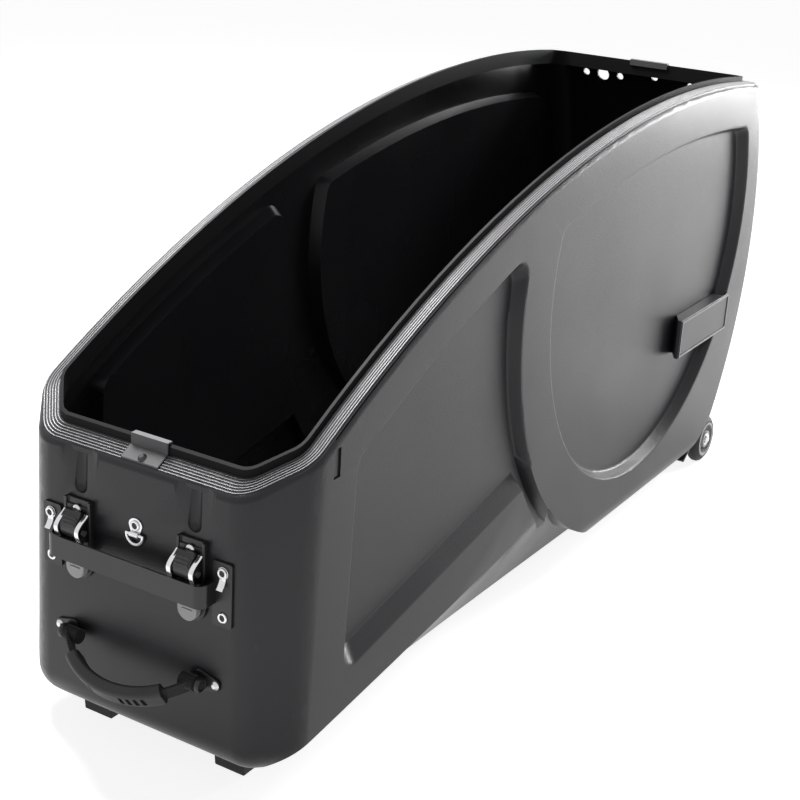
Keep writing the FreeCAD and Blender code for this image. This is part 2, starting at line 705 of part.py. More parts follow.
def shell_holes():
    """Tools for every fixing and vent hole in the shell."""
    play = RIVET_RADIUS + HOLE_PLAY
    tools = []
    for side in (-1, 1):
        for z in (GUARD_HEIGHT - GUARD_RIVET_SPREAD / 2, GUARD_HEIGHT + GUARD_RIVET_SPREAD / 2):
            tools.append(nose_hole(side * guard_rivet_y(), z, play))
        for z in buckle_rivet_heights():
            tools.append(nose_hole(side * BUCKLE_OFFSET, z, play))
        tools.append(nose_hole(side * handle_screw_y(), HANDLE_HEIGHT, SCREW_RADIUS + HOLE_PLAY))
        foot = V(at(FOOT_POSITION), side * FOOT_OFFSET, 0)
        tools.append(rod(SCREW_RADIUS + HOLE_PLAY, foot, foot + ALONG_Z * OVERRUN * 2))
        for start, end in bracket_bolt_lines(side):
            tools.append(rod(SCREW_RADIUS + HOLE_PLAY, start, end))
        for step, radius in ((-1, VENT_SIDE_RADIUS), (0, VENT_RADIUS), (1, VENT_SIDE_RADIUS)):
            vent = V(at(SHELL_LENGTH / 2), side * VENT_OFFSET + step * VENT_SPACING,
                     RIM_HEIGHT - VENT_DROP)
            tools.append(rod(radius, vent, vent + ALONG_X * SHELL_LENGTH))
    lock = V(at(SHELL_LENGTH / 2), 0, RIM_HEIGHT - LOCK_HOLE_DROP)
    tools.append(rod(VENT_SIDE_RADIUS, lock, lock + ALONG_X * SHELL_LENGTH))
    tools.append(nose_hole(0, CLIP_HEIGHT, play))
    for x in rail_bolt_places():
        tools.append(rod(SCREW_RADIUS + HOLE_PLAY, V(x, 0, 0), V(x, 0, OVERRUN * 2)))
    for x, z, slope in catch_screw_places():
        axis = V(-math.sin(slope), 0, math.cos(slope))
        middle = V(x, 0, z)
        tools.append(rod(SCREW_RADIUS + HOLE_PLAY, middle - axis * OVERRUN / 2, middle + axis * OVERRUN / 2))
    return tools


def make_shell():
    """Formed shell: the outer tub less the inner tub, the mouth and the holes."""
    outer = embossed_tub(0, EMBOSS_EDGE_RADIUS)
    cavity = embossed_tub(WALL, 0)
    mouth = mouth_solid(LIP_THICKNESS).cut(under_arc(LEDGE_RADIUS - LIP_DROP))
    parts["base_shell"] = less(outer, [cavity, mouth] + shell_holes())


def make_lip():
    """Locating strip round the mouth, standing above the ledge and reaching a little below it."""
    ring = mouth_solid(LIP_THICKNESS).cut(mouth_solid(0))
    band = under_arc(RIM_RADIUS).cut(under_arc(LEDGE_RADIUS - LIP_DROP))
    parts["rim_lip"] = ring.common(band)


# Rim catch plates

def rim_slope(x):
    """Lean of the rim arc at a place on the X axis."""
    return math.asin((at(RIM_APEX) - x) / LEDGE_RADIUS)


def catch_lines():
    """Lip faces and direction outward from the mouth, for the nose and for the tail."""
    nose_face = at(MOUTH_MARGIN - LIP_THICKNESS)
    tail_face = at(MOUTH_TAIL + LIP_THICKNESS)
    return [(nose_face, -1, CATCH_WIDTH), (tail_face, 1, REAR_CATCH_WIDTH)]


def catch_screw_places():
    """Middle of each catch screw on the ledge, with the lean of the ledge there."""
    places = []
    for face, outward, _ in catch_lines():
        x = face + outward * CATCH_SCREW_REACH
        places.append((x, rim_z(x, LEDGE_RADIUS), rim_slope(x)))
    return places


def make_catches():
    """Stepped plates over lip and ledge, each with one screw."""
    names = ("front_catch", "rear_catch")
    screws = []
    for name, (face, outward, width), (x, z, slope) in zip(names, catch_lines(), catch_screw_places()):
        end = face + outward * CATCH_REACH
        inner = face - outward * LIP_THICKNESS
        skirt = inner - outward * CATCH_SHEET
        step = face + outward * CATCH_SHEET
        top = max(rim_z(face, RIM_RADIUS), rim_z(inner, RIM_RADIUS))
        roof = top + CATCH_SHEET
        low_face = rim_z(face, LEDGE_RADIUS)
        low_end = rim_z(end, LEDGE_RADIUS)
        low_step = rim_z(step, LEDGE_RADIUS)
        outline = [(face, low_face), (end, low_end), (end, low_end + CATCH_SHEET),
                   (step, low_step + CATCH_SHEET), (step, roof), (skirt, roof),
                   (skirt, roof - CATCH_SKIRT), (inner, roof - CATCH_SKIRT), (inner, top), (face, top)]
        axis = V(-math.sin(slope), 0, math.cos(slope))
        seat = V(x, 0, z) + axis * CATCH_SHEET
        hole = rod(SCREW_RADIUS + HOLE_PLAY, seat - axis * OVERRUN, seat + axis * OVERRUN)
        curve = under_arc(LEDGE_RADIUS + FIT)
        parts[name] = prism(outline, -width / 2, width / 2).cut([hole, curve])
        screws.append(turned([(0, -CATCH_SHEET - WALL), (SCREW_RADIUS, -CATCH_SHEET - WALL),
                              (SCREW_RADIUS, 0), (SCREW_HEAD_RADIUS, 0), (SCREW_HEAD_RADIUS / 2, SCREW_HEAD),
                              (0, SCREW_HEAD)], seat, axis))
    parts["catch_screws"] = group(screws)


# Nose hardware: rivets and screws

def nose_rivet(y, z, seat):
    """Rivet through the nose wall with its head at a seat this far out and a tail washer inside."""
    inside = -WALL
    profile = [(0, inside - RIVET_TAIL), (RIVET_TAIL_RADIUS, inside - RIVET_TAIL),
               (RIVET_TAIL_RADIUS, inside), (RIVET_RADIUS, inside), (RIVET_RADIUS, seat),
               (RIVET_HEAD_RADIUS, seat), (RIVET_HEAD_RADIUS, seat + RIVET_HEAD / 2),
               (RIVET_HEAD_RADIUS / 2, seat + RIVET_HEAD), (0, seat + RIVET_HEAD)]
    return turned(profile, V(NOSE, y, z), V(-1, 0, 0))


def buckle_rivet_heights():
    """Heights of the two rivets that hold a buckle base."""
    inset = (BASE_WIDTH - FRAME_WIDTH) / 2 + RIVET_RADIUS
    return (BUCKLE_FOOT + inset + RIVET_HEAD_RADIUS * 3, BUCKLE_TOP - inset - RIVET_HEAD_RADIUS)


def guard_rivet_y():
    """Distance of the guard rivets from the middle plane."""
    return GUARD_LEG_OFFSET + GUARD_FOOT_WIDTH / 2


def handle_screw_y():
    """Distance of the handle screws from the middle plane."""
    return HANDLE_HALF_SPAN + BRACKET_WIDTH - BRACKET_SCREW_INSET - EYE_LENGTH / 2


# Buckles

def make_buckles():
    """Right buckle, piece by piece, then mirrored."""
    y = -BUCKLE_OFFSET
    make_buckle_base(y)
    make_buckle_frame(y)
    make_buckle_lever(y)
    make_buckle_pins(y)
    make_lever_spring(y)
    make_strap_guide(y)
    rivets = [nose_rivet(side * BUCKLE_OFFSET, z, seat) for side in (-1, 1)
              for z, seat in zip(buckle_rivet_heights(), rivet_seats())]
    parts["buckle_rivets"] = group(rivets)


def rivet_seats():
    """Standoff of the seats of the lower and upper buckle rivet."""
    return (BASE_THICKNESS, BASE_THICKNESS + FRAME_SHEET)


def make_buckle_base(y):
    """Moulded base plate with round ends and two low side rails."""
    half = BASE_WIDTH / 2
    body = block(out(BASE_THICKNESS), NOSE, y - half, y + half, BUCKLE_FOOT + half, BUCKLE_TOP)
    foot = V(NOSE, y, BUCKLE_FOOT + half)
    body = joined([body, rod(half, foot, foot - ALONG_X * BASE_THICKNESS)])
    rail = (BASE_WIDTH - FRAME_WIDTH) / 2
    rails = []
    for side in (-1, 1):
        inner = y + side * (half - rail + FIT)
        outer = y + side * half
        rails.append(block(out(BASE_THICKNESS + BASE_RAIL), out(BASE_THICKNESS),
                           min(inner, outer), max(inner, outer), GUIDE_TOP, BUCKLE_TOP))
    holes = [nose_hole(y, z, RIVET_RADIUS + FIT) for z in buckle_rivet_heights()]
    pair("buckle_base", joined([body] + rails).cut(holes))


def make_buckle_frame(y):
    """Steel channel: a back web and two arms whose front edge swells out over the lever pin."""
    back = BASE_THICKNESS
    web = block(out(back + FRAME_SHEET), out(back), y - FRAME_WIDTH / 2, y + FRAME_WIDTH / 2,
                FRAME_FOOT, FRAME_TOP)
    low = V(out(ARM_END_REACH), 0, ARM_FOOT)
    bulge = V(out(ARM_BULGE), 0, ARM_BULGE_HEIGHT)
    top = V(out(ARM_END_REACH), 0, ARM_TOP)
    edge = [Part.Arc(low, bulge, top).toShape(),
            Part.makeLine(top, V(out(back), 0, ARM_TOP)),
            Part.makeLine(V(out(back), 0, ARM_TOP), V(out(back), 0, ARM_FOOT)),
            Part.makeLine(V(out(back), 0, ARM_FOOT), low)]
    arm = Part.Face(Part.Wire(edge)).extrude(V(0, FRAME_SHEET, 0))
    arms = []
    for offset in (-FRAME_WIDTH / 2, FRAME_WIDTH / 2 - FRAME_SHEET):
        moved = arm.copy()
        moved.translate(V(0, y + offset, 0))
        arms.append(moved)
    holes = [rod(PIN_RADIUS + FIT, V(out(s), y - BASE_WIDTH, z), V(out(s), y + BASE_WIDTH, z))
             for s, z in buckle_pin_places()]
    holes += [nose_hole(y, z, RIVET_RADIUS + FIT) for z in buckle_rivet_heights()]
    pair("buckle_frame", joined([web] + arms).cut(holes))


def buckle_pin_places():
    """Standoff and height of the lever pin and of the stop pin."""
    return [(LEVER_PIN_STANDOFF, LEVER_PIN_HEIGHT), (STOP_PIN_STANDOFF, STOP_PIN_HEIGHT)]


def make_buckle_pins(y):
    """Headed pins through both arms."""
    half = FRAME_WIDTH / 2
    profile = [(0, -half - PIN_HEAD), (PIN_HEAD_RADIUS, -half - PIN_HEAD), (PIN_HEAD_RADIUS, -half),
               (PIN_RADIUS, -half), (PIN_RADIUS, half), (PIN_HEAD_RADIUS, half),
               (PIN_HEAD_RADIUS, half + PIN_HEAD), (0, half + PIN_HEAD)]
    pins = [turned(profile, V(out(s), y, z), ALONG_Y) for s, z in buckle_pin_places()]
    pair("buckle_pins", group(pins))


def make_buckle_lever(y):
    """Release lever: barrel on the pin, slotted thumb plate, finger tab and pawl."""
    axis = V(out(LEVER_PIN_STANDOFF), y, LEVER_PIN_HEIGHT)
    half = ALONG_Y * (LEVER_WIDTH / 2)
    barrel = rod(LEVER_BARREL_RADIUS, axis - half, axis + half)
    back = axis.x + LEVER_THICKNESS / 2
    front = axis.x - LEVER_THICKNESS / 2
    thumb = block(front, back, y - LEVER_WIDTH / 2, y + LEVER_WIDTH / 2, LEVER_PIN_HEIGHT, LEVER_TOP)
    tab = block(front - LEVER_TAB, front, y - LEVER_WIDTH / 2, y + LEVER_WIDTH / 2,
                LEVER_TOP - LEVER_TAB_THICKNESS, LEVER_TOP)
    pawl_tip = axis.x + LEVER_BARREL_RADIUS
    pawl_points = [(axis.x, LEVER_PIN_HEIGHT - LEVER_BARREL_RADIUS), (pawl_tip, LEVER_PIN_HEIGHT - PIN_RADIUS),
                   (pawl_tip, LEVER_PIN_HEIGHT), (axis.x, LEVER_PIN_HEIGHT)]
    pawl = prism(pawl_points, y - PAWL_WIDTH / 2, y + PAWL_WIDTH / 2)
    body = joined([barrel, thumb, tab, pawl])
    slots = []
    slot_top = LEVER_TOP - LEVER_TAB_THICKNESS
    for step in (-1, 0, 1):
        middle = y + step * LEVER_SLOT_SPACING
        slots.append(block(front, front + LEVER_SLOT_DEPTH, middle - LEVER_SLOT_WIDTH / 2,
                           middle + LEVER_SLOT_WIDTH / 2, LEVER_PIN_HEIGHT + LEVER_BARREL_RADIUS, slot_top))
    bore = rod(PIN_RADIUS + FIT, axis - half * 2, axis + half * 2)
    pair("buckle_lever", body.cut(slots + [bore]))


def make_lever_spring(y):
    """Leaf spring: a foot on the frame web and a blade that bears on the lever's back."""
    seat = BASE_THICKNESS + FRAME_SHEET
    lever_back = LEVER_PIN_STANDOFF - LEVER_THICKNESS / 2 - SPRING_PLAY
    low = LEVER_PIN_HEIGHT + LEVER_BARREL_RADIUS
    bend = low + SPRING_FOOT
    tip = bend + SPRING_RISE
    points = [(out(seat), low), (out(seat + SPRING_THICKNESS), low), (out(seat + SPRING_THICKNESS), bend),
              (out(lever_back), tip), (out(lever_back - SPRING_THICKNESS), tip), (out(seat), bend)]
    pair("lever_spring", prism(points, y - SPRING_WIDTH / 2, y + SPRING_WIDTH / 2))


def make_strap_guide(y):
    """Ribbed tongue below the guard that leads the strap's tail out of the buckle."""
    half = GUIDE_WIDTH / 2
    seat = BASE_THICKNESS
    centre = GUIDE_FOOT + half
    foot = V(out(seat), y, centre)
    body = joined([block(out(seat + GUIDE_THICKNESS), out(seat), y - half, y + half, centre, GUIDE_TOP),
                   rod(half, foot, foot - ALONG_X * GUIDE_THICKNESS)])
    rivet = V(NOSE, y, buckle_rivet_heights()[0])
    pocket = rod(RIVET_HEAD_RADIUS + HOLE_PLAY, rivet, rivet - ALONG_X * (seat + RIVET_HEAD + HOLE_PLAY))
    ribs = []
    for step in range(GUIDE_RIB_COUNT):
        z = GUIDE_TOP - (step + 1) * GUIDE_RIB_SPACING
        ribs.append(rod(GUIDE_RIB, V(out(seat + GUIDE_THICKNESS), y - half / 2, z),
                        V(out(seat + GUIDE_THICKNESS), y + half / 2, z)))
    pair("strap_guide", joined([body] + ribs).cut(pocket))


# Guard bar

def make_guard():
    """Bent strip over both buckles, with a riveted foot plate at each end, tabs and rivets."""
    low = GUARD_HEIGHT - GUARD_WIDTH / 2
    high = GUARD_HEIGHT + GUARD_WIDTH / 2
    outer = GUARD_LEG_OFFSET
    strip = block(out(GUARD_STANDOFF), NOSE, -outer, outer, low, high)
    corners = [edge for edge in strip.Edges
               if edge.BoundBox.ZLength > GUARD_SHEET and edge.BoundBox.XMax < out(GUARD_SHEET)]
    strip = strip.makeFillet(GUARD_BEND_RADIUS, corners)
    hollow = block(out(GUARD_STANDOFF - GUARD_SHEET), NOSE, -outer + GUARD_SHEET, outer - GUARD_SHEET,
                   low - OVERRUN, high + OVERRUN)
    corners = [edge for edge in hollow.Edges
               if edge.BoundBox.ZLength > GUARD_SHEET and edge.BoundBox.XMax < out(GUARD_SHEET)]
    strip = strip.cut(hollow.makeFillet(GUARD_BEND_RADIUS - GUARD_SHEET, corners))
    pieces = [strip]
    holes = []
    rivets = []
    y = guard_rivet_y()
    for side in (-1, 1):
        near = side * (outer - GUARD_SHEET)
        far = side * (outer + GUARD_FOOT_WIDTH)
        foot = block(out(GUARD_SHEET), NOSE, min(near, far), max(near, far),
                     GUARD_HEIGHT - GUARD_FOOT_HEIGHT / 2, GUARD_HEIGHT + GUARD_FOOT_HEIGHT / 2)
        ends = [edge for edge in foot.Edges if edge.BoundBox.XLength > FIT]
        pieces.append(foot.makeFillet(GUARD_SHEET, ends))
        for step, seat in ((-1, GUARD_SHEET), (1, GUARD_SHEET + TAB_SHEET)):
            z = GUARD_HEIGHT + step * GUARD_RIVET_SPREAD / 2
            holes.append(nose_hole(side * y, z, RIVET_RADIUS + FIT))
            rivets.append(nose_rivet(side * y, z, seat))
    parts["guard_bar"] = joined(pieces).cut(holes)
    parts["guard_rivets"] = group(rivets)
    top = GUARD_HEIGHT + GUARD_RIVET_SPREAD / 2 + TAB_WIDTH / 2
    foot = top - TAB_LENGTH
    outline = [(out(GUARD_SHEET), top), (out(GUARD_SHEET), foot), (out(GUARD_SHEET + TAB_BEND), foot - TAB_BEND),
               (out(GUARD_SHEET + TAB_BEND + TAB_SHEET), foot - TAB_BEND + TAB_SHEET),
               (out(GUARD_SHEET + TAB_SHEET), foot + TAB_SHEET), (out(GUARD_SHEET + TAB_SHEET), top)]
    tab = prism(outline, -y - TAB_WIDTH / 2, -y + TAB_WIDTH / 2)
    hole = nose_hole(-y, GUARD_HEIGHT + GUARD_RIVET_SPREAD / 2, RIVET_RADIUS + FIT)
    pair("guard_tab", tab.cut(hole))


# Tie ring

def ring_axis():
    """Middle of the tie ring's straight bar."""
    return V(out(RING_WIRE_RADIUS + CLIP_BARREL_WALL + FIT), 0, CLIP_HEIGHT - CLIP_LENGTH / 2 - RING_WIRE_RADIUS)


def make_tie_ring():
    """Riveted clip with a rolled barrel, and a D-shaped ring that swings in it."""
    axis = ring_axis()
    half = ALONG_Y * (CLIP_WIDTH / 2 - RING_WIRE_RADIUS * 2)
    barrel = rod(RING_WIRE_RADIUS + CLIP_BARREL_WALL, axis - half, axis + half)
    sheet = block(out(CLIP_SHEET), NOSE, -CLIP_WIDTH / 2, CLIP_WIDTH / 2,
                  CLIP_HEIGHT - CLIP_LENGTH / 2 + CLIP_SHEET, CLIP_HEIGHT + CLIP_LENGTH / 2)
    neck = block(out(CLIP_SHEET), NOSE, -half.y, half.y, axis.z, CLIP_HEIGHT)
    bore = rod(RING_WIRE_RADIUS + FIT, axis - half * 2, axis + half * 2)
    hole = nose_hole(0, CLIP_HEIGHT, RIVET_RADIUS + FIT)
    parts["ring_clip"] = joined([sheet, neck, barrel]).cut([bore, hole])
    parts["clip_rivet"] = nose_rivet(0, CLIP_HEIGHT, CLIP_SHEET)
    left = axis + ALONG_Y * RING_HALF_WIDTH
    right = axis - ALONG_Y * RING_HALF_WIDTH
    foot = axis - ALONG_Z * RING_HALF_WIDTH
    bow_wire = Part.Wire([Part.Arc(left, foot, right).toShape()])
    section = Part.Wire([Part.makeCircle(RING_WIRE_RADIUS, left, ALONG_Z)])
    bow = bow_wire.makePipeShell([section], True, False)
    bar = rod(RING_WIRE_RADIUS, right, left)
    knuckles = [Part.makeSphere(RING_WIRE_RADIUS, point) for point in (left, right)]
    parts["tie_ring"] = joined([bow, bar] + knuckles)


# Carry handle

def handle_axis_point(y):
    """Point of the line that the handle swings about."""
    return V(out(HANDLE_AXIS_STANDOFF), y, HANDLE_HEIGHT)


def make_handle():
    """Bowed strap with round ends, moulded grip, end brackets and screws."""
    outward = V(-math.cos(HANDLE_DROOP_RAD), 0, -math.sin(HANDLE_DROOP_RAD))
    normal = outward.cross(ALONG_Y).normalize()
    radius = (HANDLE_HALF_SPAN ** 2 + HANDLE_BOW ** 2) / (2 * HANDLE_BOW)
    centre = handle_axis_point(0) + outward * (HANDLE_BOW - radius)
    strap_half_angle = math.degrees(math.asin(HANDLE_HALF_SPAN / radius))
    grip_half_angle = math.degrees(GRIP_HALF_LENGTH / radius)

    def bowed(thickness, width, half_angle, edge_radius):
        crown = centre + outward * radius
        a = outward * (thickness / 2)
        b = normal * (width / 2)
        corners = [crown - a - b, crown + a - b, crown + a + b, crown - a + b]
        face = Part.Face(Part.makePolygon(corners + corners[:1]))
        face.rotate(centre, normal, -half_angle)
        solid = face.revolve(centre, normal, half_angle * 2)
        if edge_radius:
            solid = solid.makeFillet(edge_radius, [e for e in solid.Edges if e.Length > HANDLE_HALF_SPAN])
        return solid

    play = GRIP_PLAY * 2
    strap = bowed(STRAP_THICKNESS, STRAP_WIDTH, strap_half_angle, 0)
    ends = []
    for side in (-1, 1):
        inner = HANDLE_HALF_SPAN - EYE_LENGTH
        ends.append(rod(TRUNNION_RADIUS, handle_axis_point(side * inner),
                        handle_axis_point(side * (HANDLE_HALF_SPAN + EYE_LENGTH))))
    trim = [block(NOSE - HANDLE_REACH, NOSE, side * HANDLE_HALF_SPAN - (side < 0) * OVERRUN,
                  side * HANDLE_HALF_SPAN + (side > 0) * OVERRUN, 0, HANDLE_HEIGHT * 2) for side in (-1, 1)]
    parts["handle_strap"] = joined([strap.cut(trim)] + ends)

    grip = bowed(GRIP_THICKNESS, GRIP_WIDTH, grip_half_angle, GRIP_EDGE_RADIUS)
    channel = bowed(STRAP_THICKNESS + play, STRAP_WIDTH + play, strap_half_angle, 0)
    slots = []
    crown = centre + outward * (radius + GRIP_THICKNESS / 2)
    for group_side in (-1, 1):
        for step in range(GRIP_SLOT_COUNT):
            place = step - (GRIP_SLOT_COUNT - 1) / 2
            angle = group_side * (grip_half_angle / 2 + math.degrees(GRIP_SLOT_SPACING / radius) * place)
            slot = block(-GRIP_SLOT_DEPTH, GRIP_SLOT_DEPTH, -GRIP_SLOT_WIDTH / 2, GRIP_SLOT_WIDTH / 2,
                         -GRIP_WIDTH / 4, GRIP_WIDTH / 4)
            slot.rotate(ORIGIN, ALONG_Y, -HANDLE_DROOP)
            slot.translate(crown)
            slot.rotate(centre, normal, angle)
            slots.append(slot)
    parts["handle_grip"] = grip.cut([channel] + slots)
    make_handle_brackets()


def make_handle_brackets():
    """Wall plate with an eye for the strap's round end, and one screw."""
    eye_radius = TRUNNION_RADIUS + FIT + EYE_WALL
    inner = HANDLE_HALF_SPAN
    outer = inner + EYE_LENGTH
    eye = rod(eye_radius, handle_axis_point(-inner), handle_axis_point(-outer))
    web = block(out(HANDLE_AXIS_STANDOFF), NOSE, -outer, -inner,
                HANDLE_HEIGHT - eye_radius, HANDLE_HEIGHT + eye_radius)
    far = handle_screw_y() + BRACKET_SCREW_INSET
    points = [(-inner, HANDLE_HEIGHT - BRACKET_HEIGHT / 2), (-inner, HANDLE_HEIGHT + BRACKET_HEIGHT / 2),
              (-far, HANDLE_HEIGHT + BRACKET_SCREW_INSET), (-far, HANDLE_HEIGHT - BRACKET_SCREW_INSET)]
    wire = Part.makePolygon([V(NOSE, y, z) for y, z in points + points[:1]])
    sheet = Part.Face(wire).extrude(V(-BRACKET_PLATE, 0, 0))
    bore = rod(TRUNNION_RADIUS + FIT, handle_axis_point(-inner + OVERRUN), handle_axis_point(-outer - OVERRUN))
    hole = nose_hole(-handle_screw_y(), HANDLE_HEIGHT, SCREW_RADIUS + FIT)
    pair("handle_bracket", joined([sheet, web, eye]).cut([bore, hole]))
    inside = -WALL - RIVET_TAIL
    profile = [(0, inside), (SCREW_HEAD_RADIUS, inside), (SCREW_HEAD_RADIUS, -WALL), (SCREW_RADIUS, -WALL),
               (SCREW_RADIUS, BRACKET_PLATE), (SCREW_HEAD_RADIUS, BRACKET_PLATE),
               (SCREW_HEAD_RADIUS / 2, BRACKET_PLATE + SCREW_HEAD), (0, BRACKET_PLATE + SCREW_HEAD)]
    screws = [turned(profile, V(NOSE, side * handle_screw_y(), HANDLE_HEIGHT), V(-1, 0, 0)) for side in (-1, 1)]
    parts["handle_screws"] = group(screws)


# Feet

def make_feet():
    """Tapered rubber feet with a screw up into the shell floor."""
    x = at(FOOT_POSITION)
    y = -FOOT_OFFSET

    def outline(z, shrink):
        half_x = FOOT_LENGTH / 2 - shrink
        half_y = FOOT_WIDTH / 2 - shrink
        corners = [V(x - half_x, y - half_y, z), V(x + half_x, y - half_y, z),
                   V(x + half_x, y + half_y, z), V(x - half_x, y + half_y, z)]
        return Part.makePolygon(corners + corners[:1])

    body = Part.makeLoft([outline(0, FOOT_TAPER), outline(FLOOR_HEIGHT, 0)], True, True)
    middle = V(x, y, 0)
    shank = rod(SCREW_RADIUS + FIT, middle, middle + ALONG_Z * FLOOR_HEIGHT)
    well = rod(SCREW_HEAD_RADIUS + HOLE_PLAY, middle, middle + ALONG_Z * FOOT_SCREW_DEPTH)
    pair("foot", body.cut([shank, well]))
    top = FLOOR_HEIGHT + WALL
    profile = [(0, FOOT_SCREW_DEPTH - SCREW_HEAD), (SCREW_HEAD_RADIUS, FOOT_SCREW_DEPTH - SCREW_HEAD),
               (SCREW_HEAD_RADIUS, FOOT_SCREW_DEPTH), (SCREW_RADIUS, FOOT_SCREW_DEPTH), (SCREW_RADIUS, top),
               (SCREW_HEAD_RADIUS, top), (SCREW_HEAD_RADIUS, top + RIVET_TAIL), (0, top + RIVET_TAIL)]
    parts["foot_screws"] = group([turned(profile, V(x, side * FOOT_OFFSET, 0), ALONG_Z) for side in (-1, 1)])


# Wheels

def wheel_centre(y):
    """Point of a wheel's axis."""
    return V(WHEEL_X, y, WHEEL_RADIUS)


def bracket_bolt_lines(side):
    """Start and end of the bolt holes through a wheel bracket and the notch wall."""
    low, high, ux, uz = notch_line(0)
    length = math.hypot(high[0] - low[0], high[1] - low[1])
    y = side * (NOTCH_INNER + WHEEL_OUTER) / 2
    across = V(-uz, 0, ux)
    lines = []
    for along in (BRACKET_BOLT_INSET, length - BRACKET_BOLT_INSET):
        middle = V(low[0] + ux * along, y, low[1] + uz * along)
        lines.append((middle - across * OVERRUN / 4, middle + across * OVERRUN / 2))
    return lines


def make_wheel_brackets():
    """Angle bracket: a plate on the slanting notch face and a cheek that carries the axle."""
    low, high, ux, uz = notch_line(0)
    under_low, under_high, _, _ = notch_line(-BRACKET_SHEET)
    sheet = prism([low, high, under_high, under_low], -WHEEL_OUTER, -NOTCH_INNER)
    axle = wheel_centre(0)
    cheek_points = [low, high, (axle.x + CHEEK_MARGIN, axle.z + CHEEK_MARGIN),
                    (axle.x + CHEEK_MARGIN, axle.z - CHEEK_MARGIN),
                    (axle.x - CHEEK_MARGIN, axle.z - CHEEK_MARGIN)]
    cheek = prism(cheek_points, -NOTCH_INNER - BRACKET_SHEET, -NOTCH_INNER)
    bore = rod(BEARING_BORE, wheel_centre(-SHELL_HALF_WIDTH), wheel_centre(0))
    holes = [rod(SCREW_RADIUS + FIT, start, end) for start, end in bracket_bolt_lines(-1)]
    pair("wheel_bracket", joined([sheet, cheek]).cut([bore] + holes))
    across = V(-uz, 0, ux)
    profile = [(0, -BRACKET_SHEET - SCREW_HEAD), (SCREW_HEAD_RADIUS, -BRACKET_SHEET - SCREW_HEAD),
               (SCREW_HEAD_RADIUS, -BRACKET_SHEET), (SCREW_RADIUS, -BRACKET_SHEET), (SCREW_RADIUS, WALL),
               (SCREW_HEAD_RADIUS, WALL), (SCREW_HEAD_RADIUS, WALL + RIVET_TAIL), (0, WALL + RIVET_TAIL)]
    bolts = []
    for side in (-1, 1):
        for start, end in bracket_bolt_lines(side):
            seat = start + across * OVERRUN / 4
            bolts.append(turned(profile, seat, across))
    parts["bracket_bolts"] = group(bolts)


def make_wheels():
    """Right wheel: axle, tyre, spoked hub and two bearings, then mirrored."""
    inner = WHEEL_OUTER - WHEEL_WIDTH
    tread = WHEEL_RADIUS
    hub = WHEEL_RADIUS - TYRE_THICKNESS
    start = wheel_centre(-inner)
    outward = V(0, -1, 0)
    edge = TYRE_ROUND
    tyre = turned([(hub, 0), (tread - edge, 0), (tread - edge / 4, edge / 2), (tread, edge),
                   (tread, WHEEL_WIDTH - edge), (tread - edge / 4, WHEEL_WIDTH - edge / 2),
                   (tread - edge, WHEEL_WIDTH), (hub, WHEEL_WIDTH)], start, outward)
    pair("wheel_tyre", tyre)
    boss = BEARING_RADIUS + HUB_BOSS_WALL
    web_low = (WHEEL_WIDTH - HUB_WEB) / 2
    web_high = (WHEEL_WIDTH + HUB_WEB) / 2
    hub_solid = turned([(BEARING_RADIUS, 0), (boss, 0), (boss, web_low), (hub - HUB_RIM, web_low),
                        (hub - HUB_RIM, 0), (hub, 0), (hub, WHEEL_WIDTH), (hub - HUB_RIM, WHEEL_WIDTH),
                        (hub - HUB_RIM, web_high), (boss, web_high), (boss, WHEEL_WIDTH),
                        (BEARING_RADIUS, WHEEL_WIDTH)], start, outward)
    middle = (boss + hub - HUB_RIM) / 2
    windows = []
    for step in range(SPOKE_COUNT):
        angle = 2 * math.pi * step / SPOKE_COUNT
        place = V(middle * math.cos(angle), 0, middle * math.sin(angle))
        windows.append(rod(SPOKE_WINDOW_RADIUS, wheel_centre(0) + place,
                           wheel_centre(-SHELL_HALF_WIDTH) + place))
    pair("wheel_hub", hub_solid.cut(windows))
    bearings = []
    for offset in (0, WHEEL_WIDTH - BEARING_WIDTH):
        bearings.append(turned([(BEARING_BORE + FIT, offset), (BEARING_RADIUS, offset),
                                (BEARING_RADIUS, offset + BEARING_WIDTH),
                                (BEARING_BORE + FIT, offset + BEARING_WIDTH)], start, outward))
    pair("wheel_bearings", group(bearings))
    cheek_inner = -(inner - NOTCH_INNER)
    cheek_outer = cheek_inner + BRACKET_SHEET
    collar = BEARING_BORE + HUB_BOSS_WALL / 2
    gap = HOLE_PLAY / 2
    axle = turned([(0, cheek_inner - AXLE_NUT), (AXLE_HEAD_RADIUS, cheek_inner - AXLE_NUT),
                   (AXLE_HEAD_RADIUS, cheek_inner), (BEARING_BORE, cheek_inner), (BEARING_BORE, cheek_outer),
                   (collar, cheek_outer), (collar, -gap), (BEARING_BORE, -gap), (BEARING_BORE, WHEEL_WIDTH + gap),
                   (AXLE_HEAD_RADIUS, WHEEL_WIDTH + gap), (AXLE_HEAD_RADIUS, WHEEL_WIDTH + gap + AXLE_HEAD / 2),
                   (AXLE_HEAD_RADIUS / 2, WHEEL_WIDTH + gap + AXLE_HEAD), (0, WHEEL_WIDTH + gap + AXLE_HEAD)],
                  start, outward)
    pair("wheel_axle", axle)


# Blank side plates

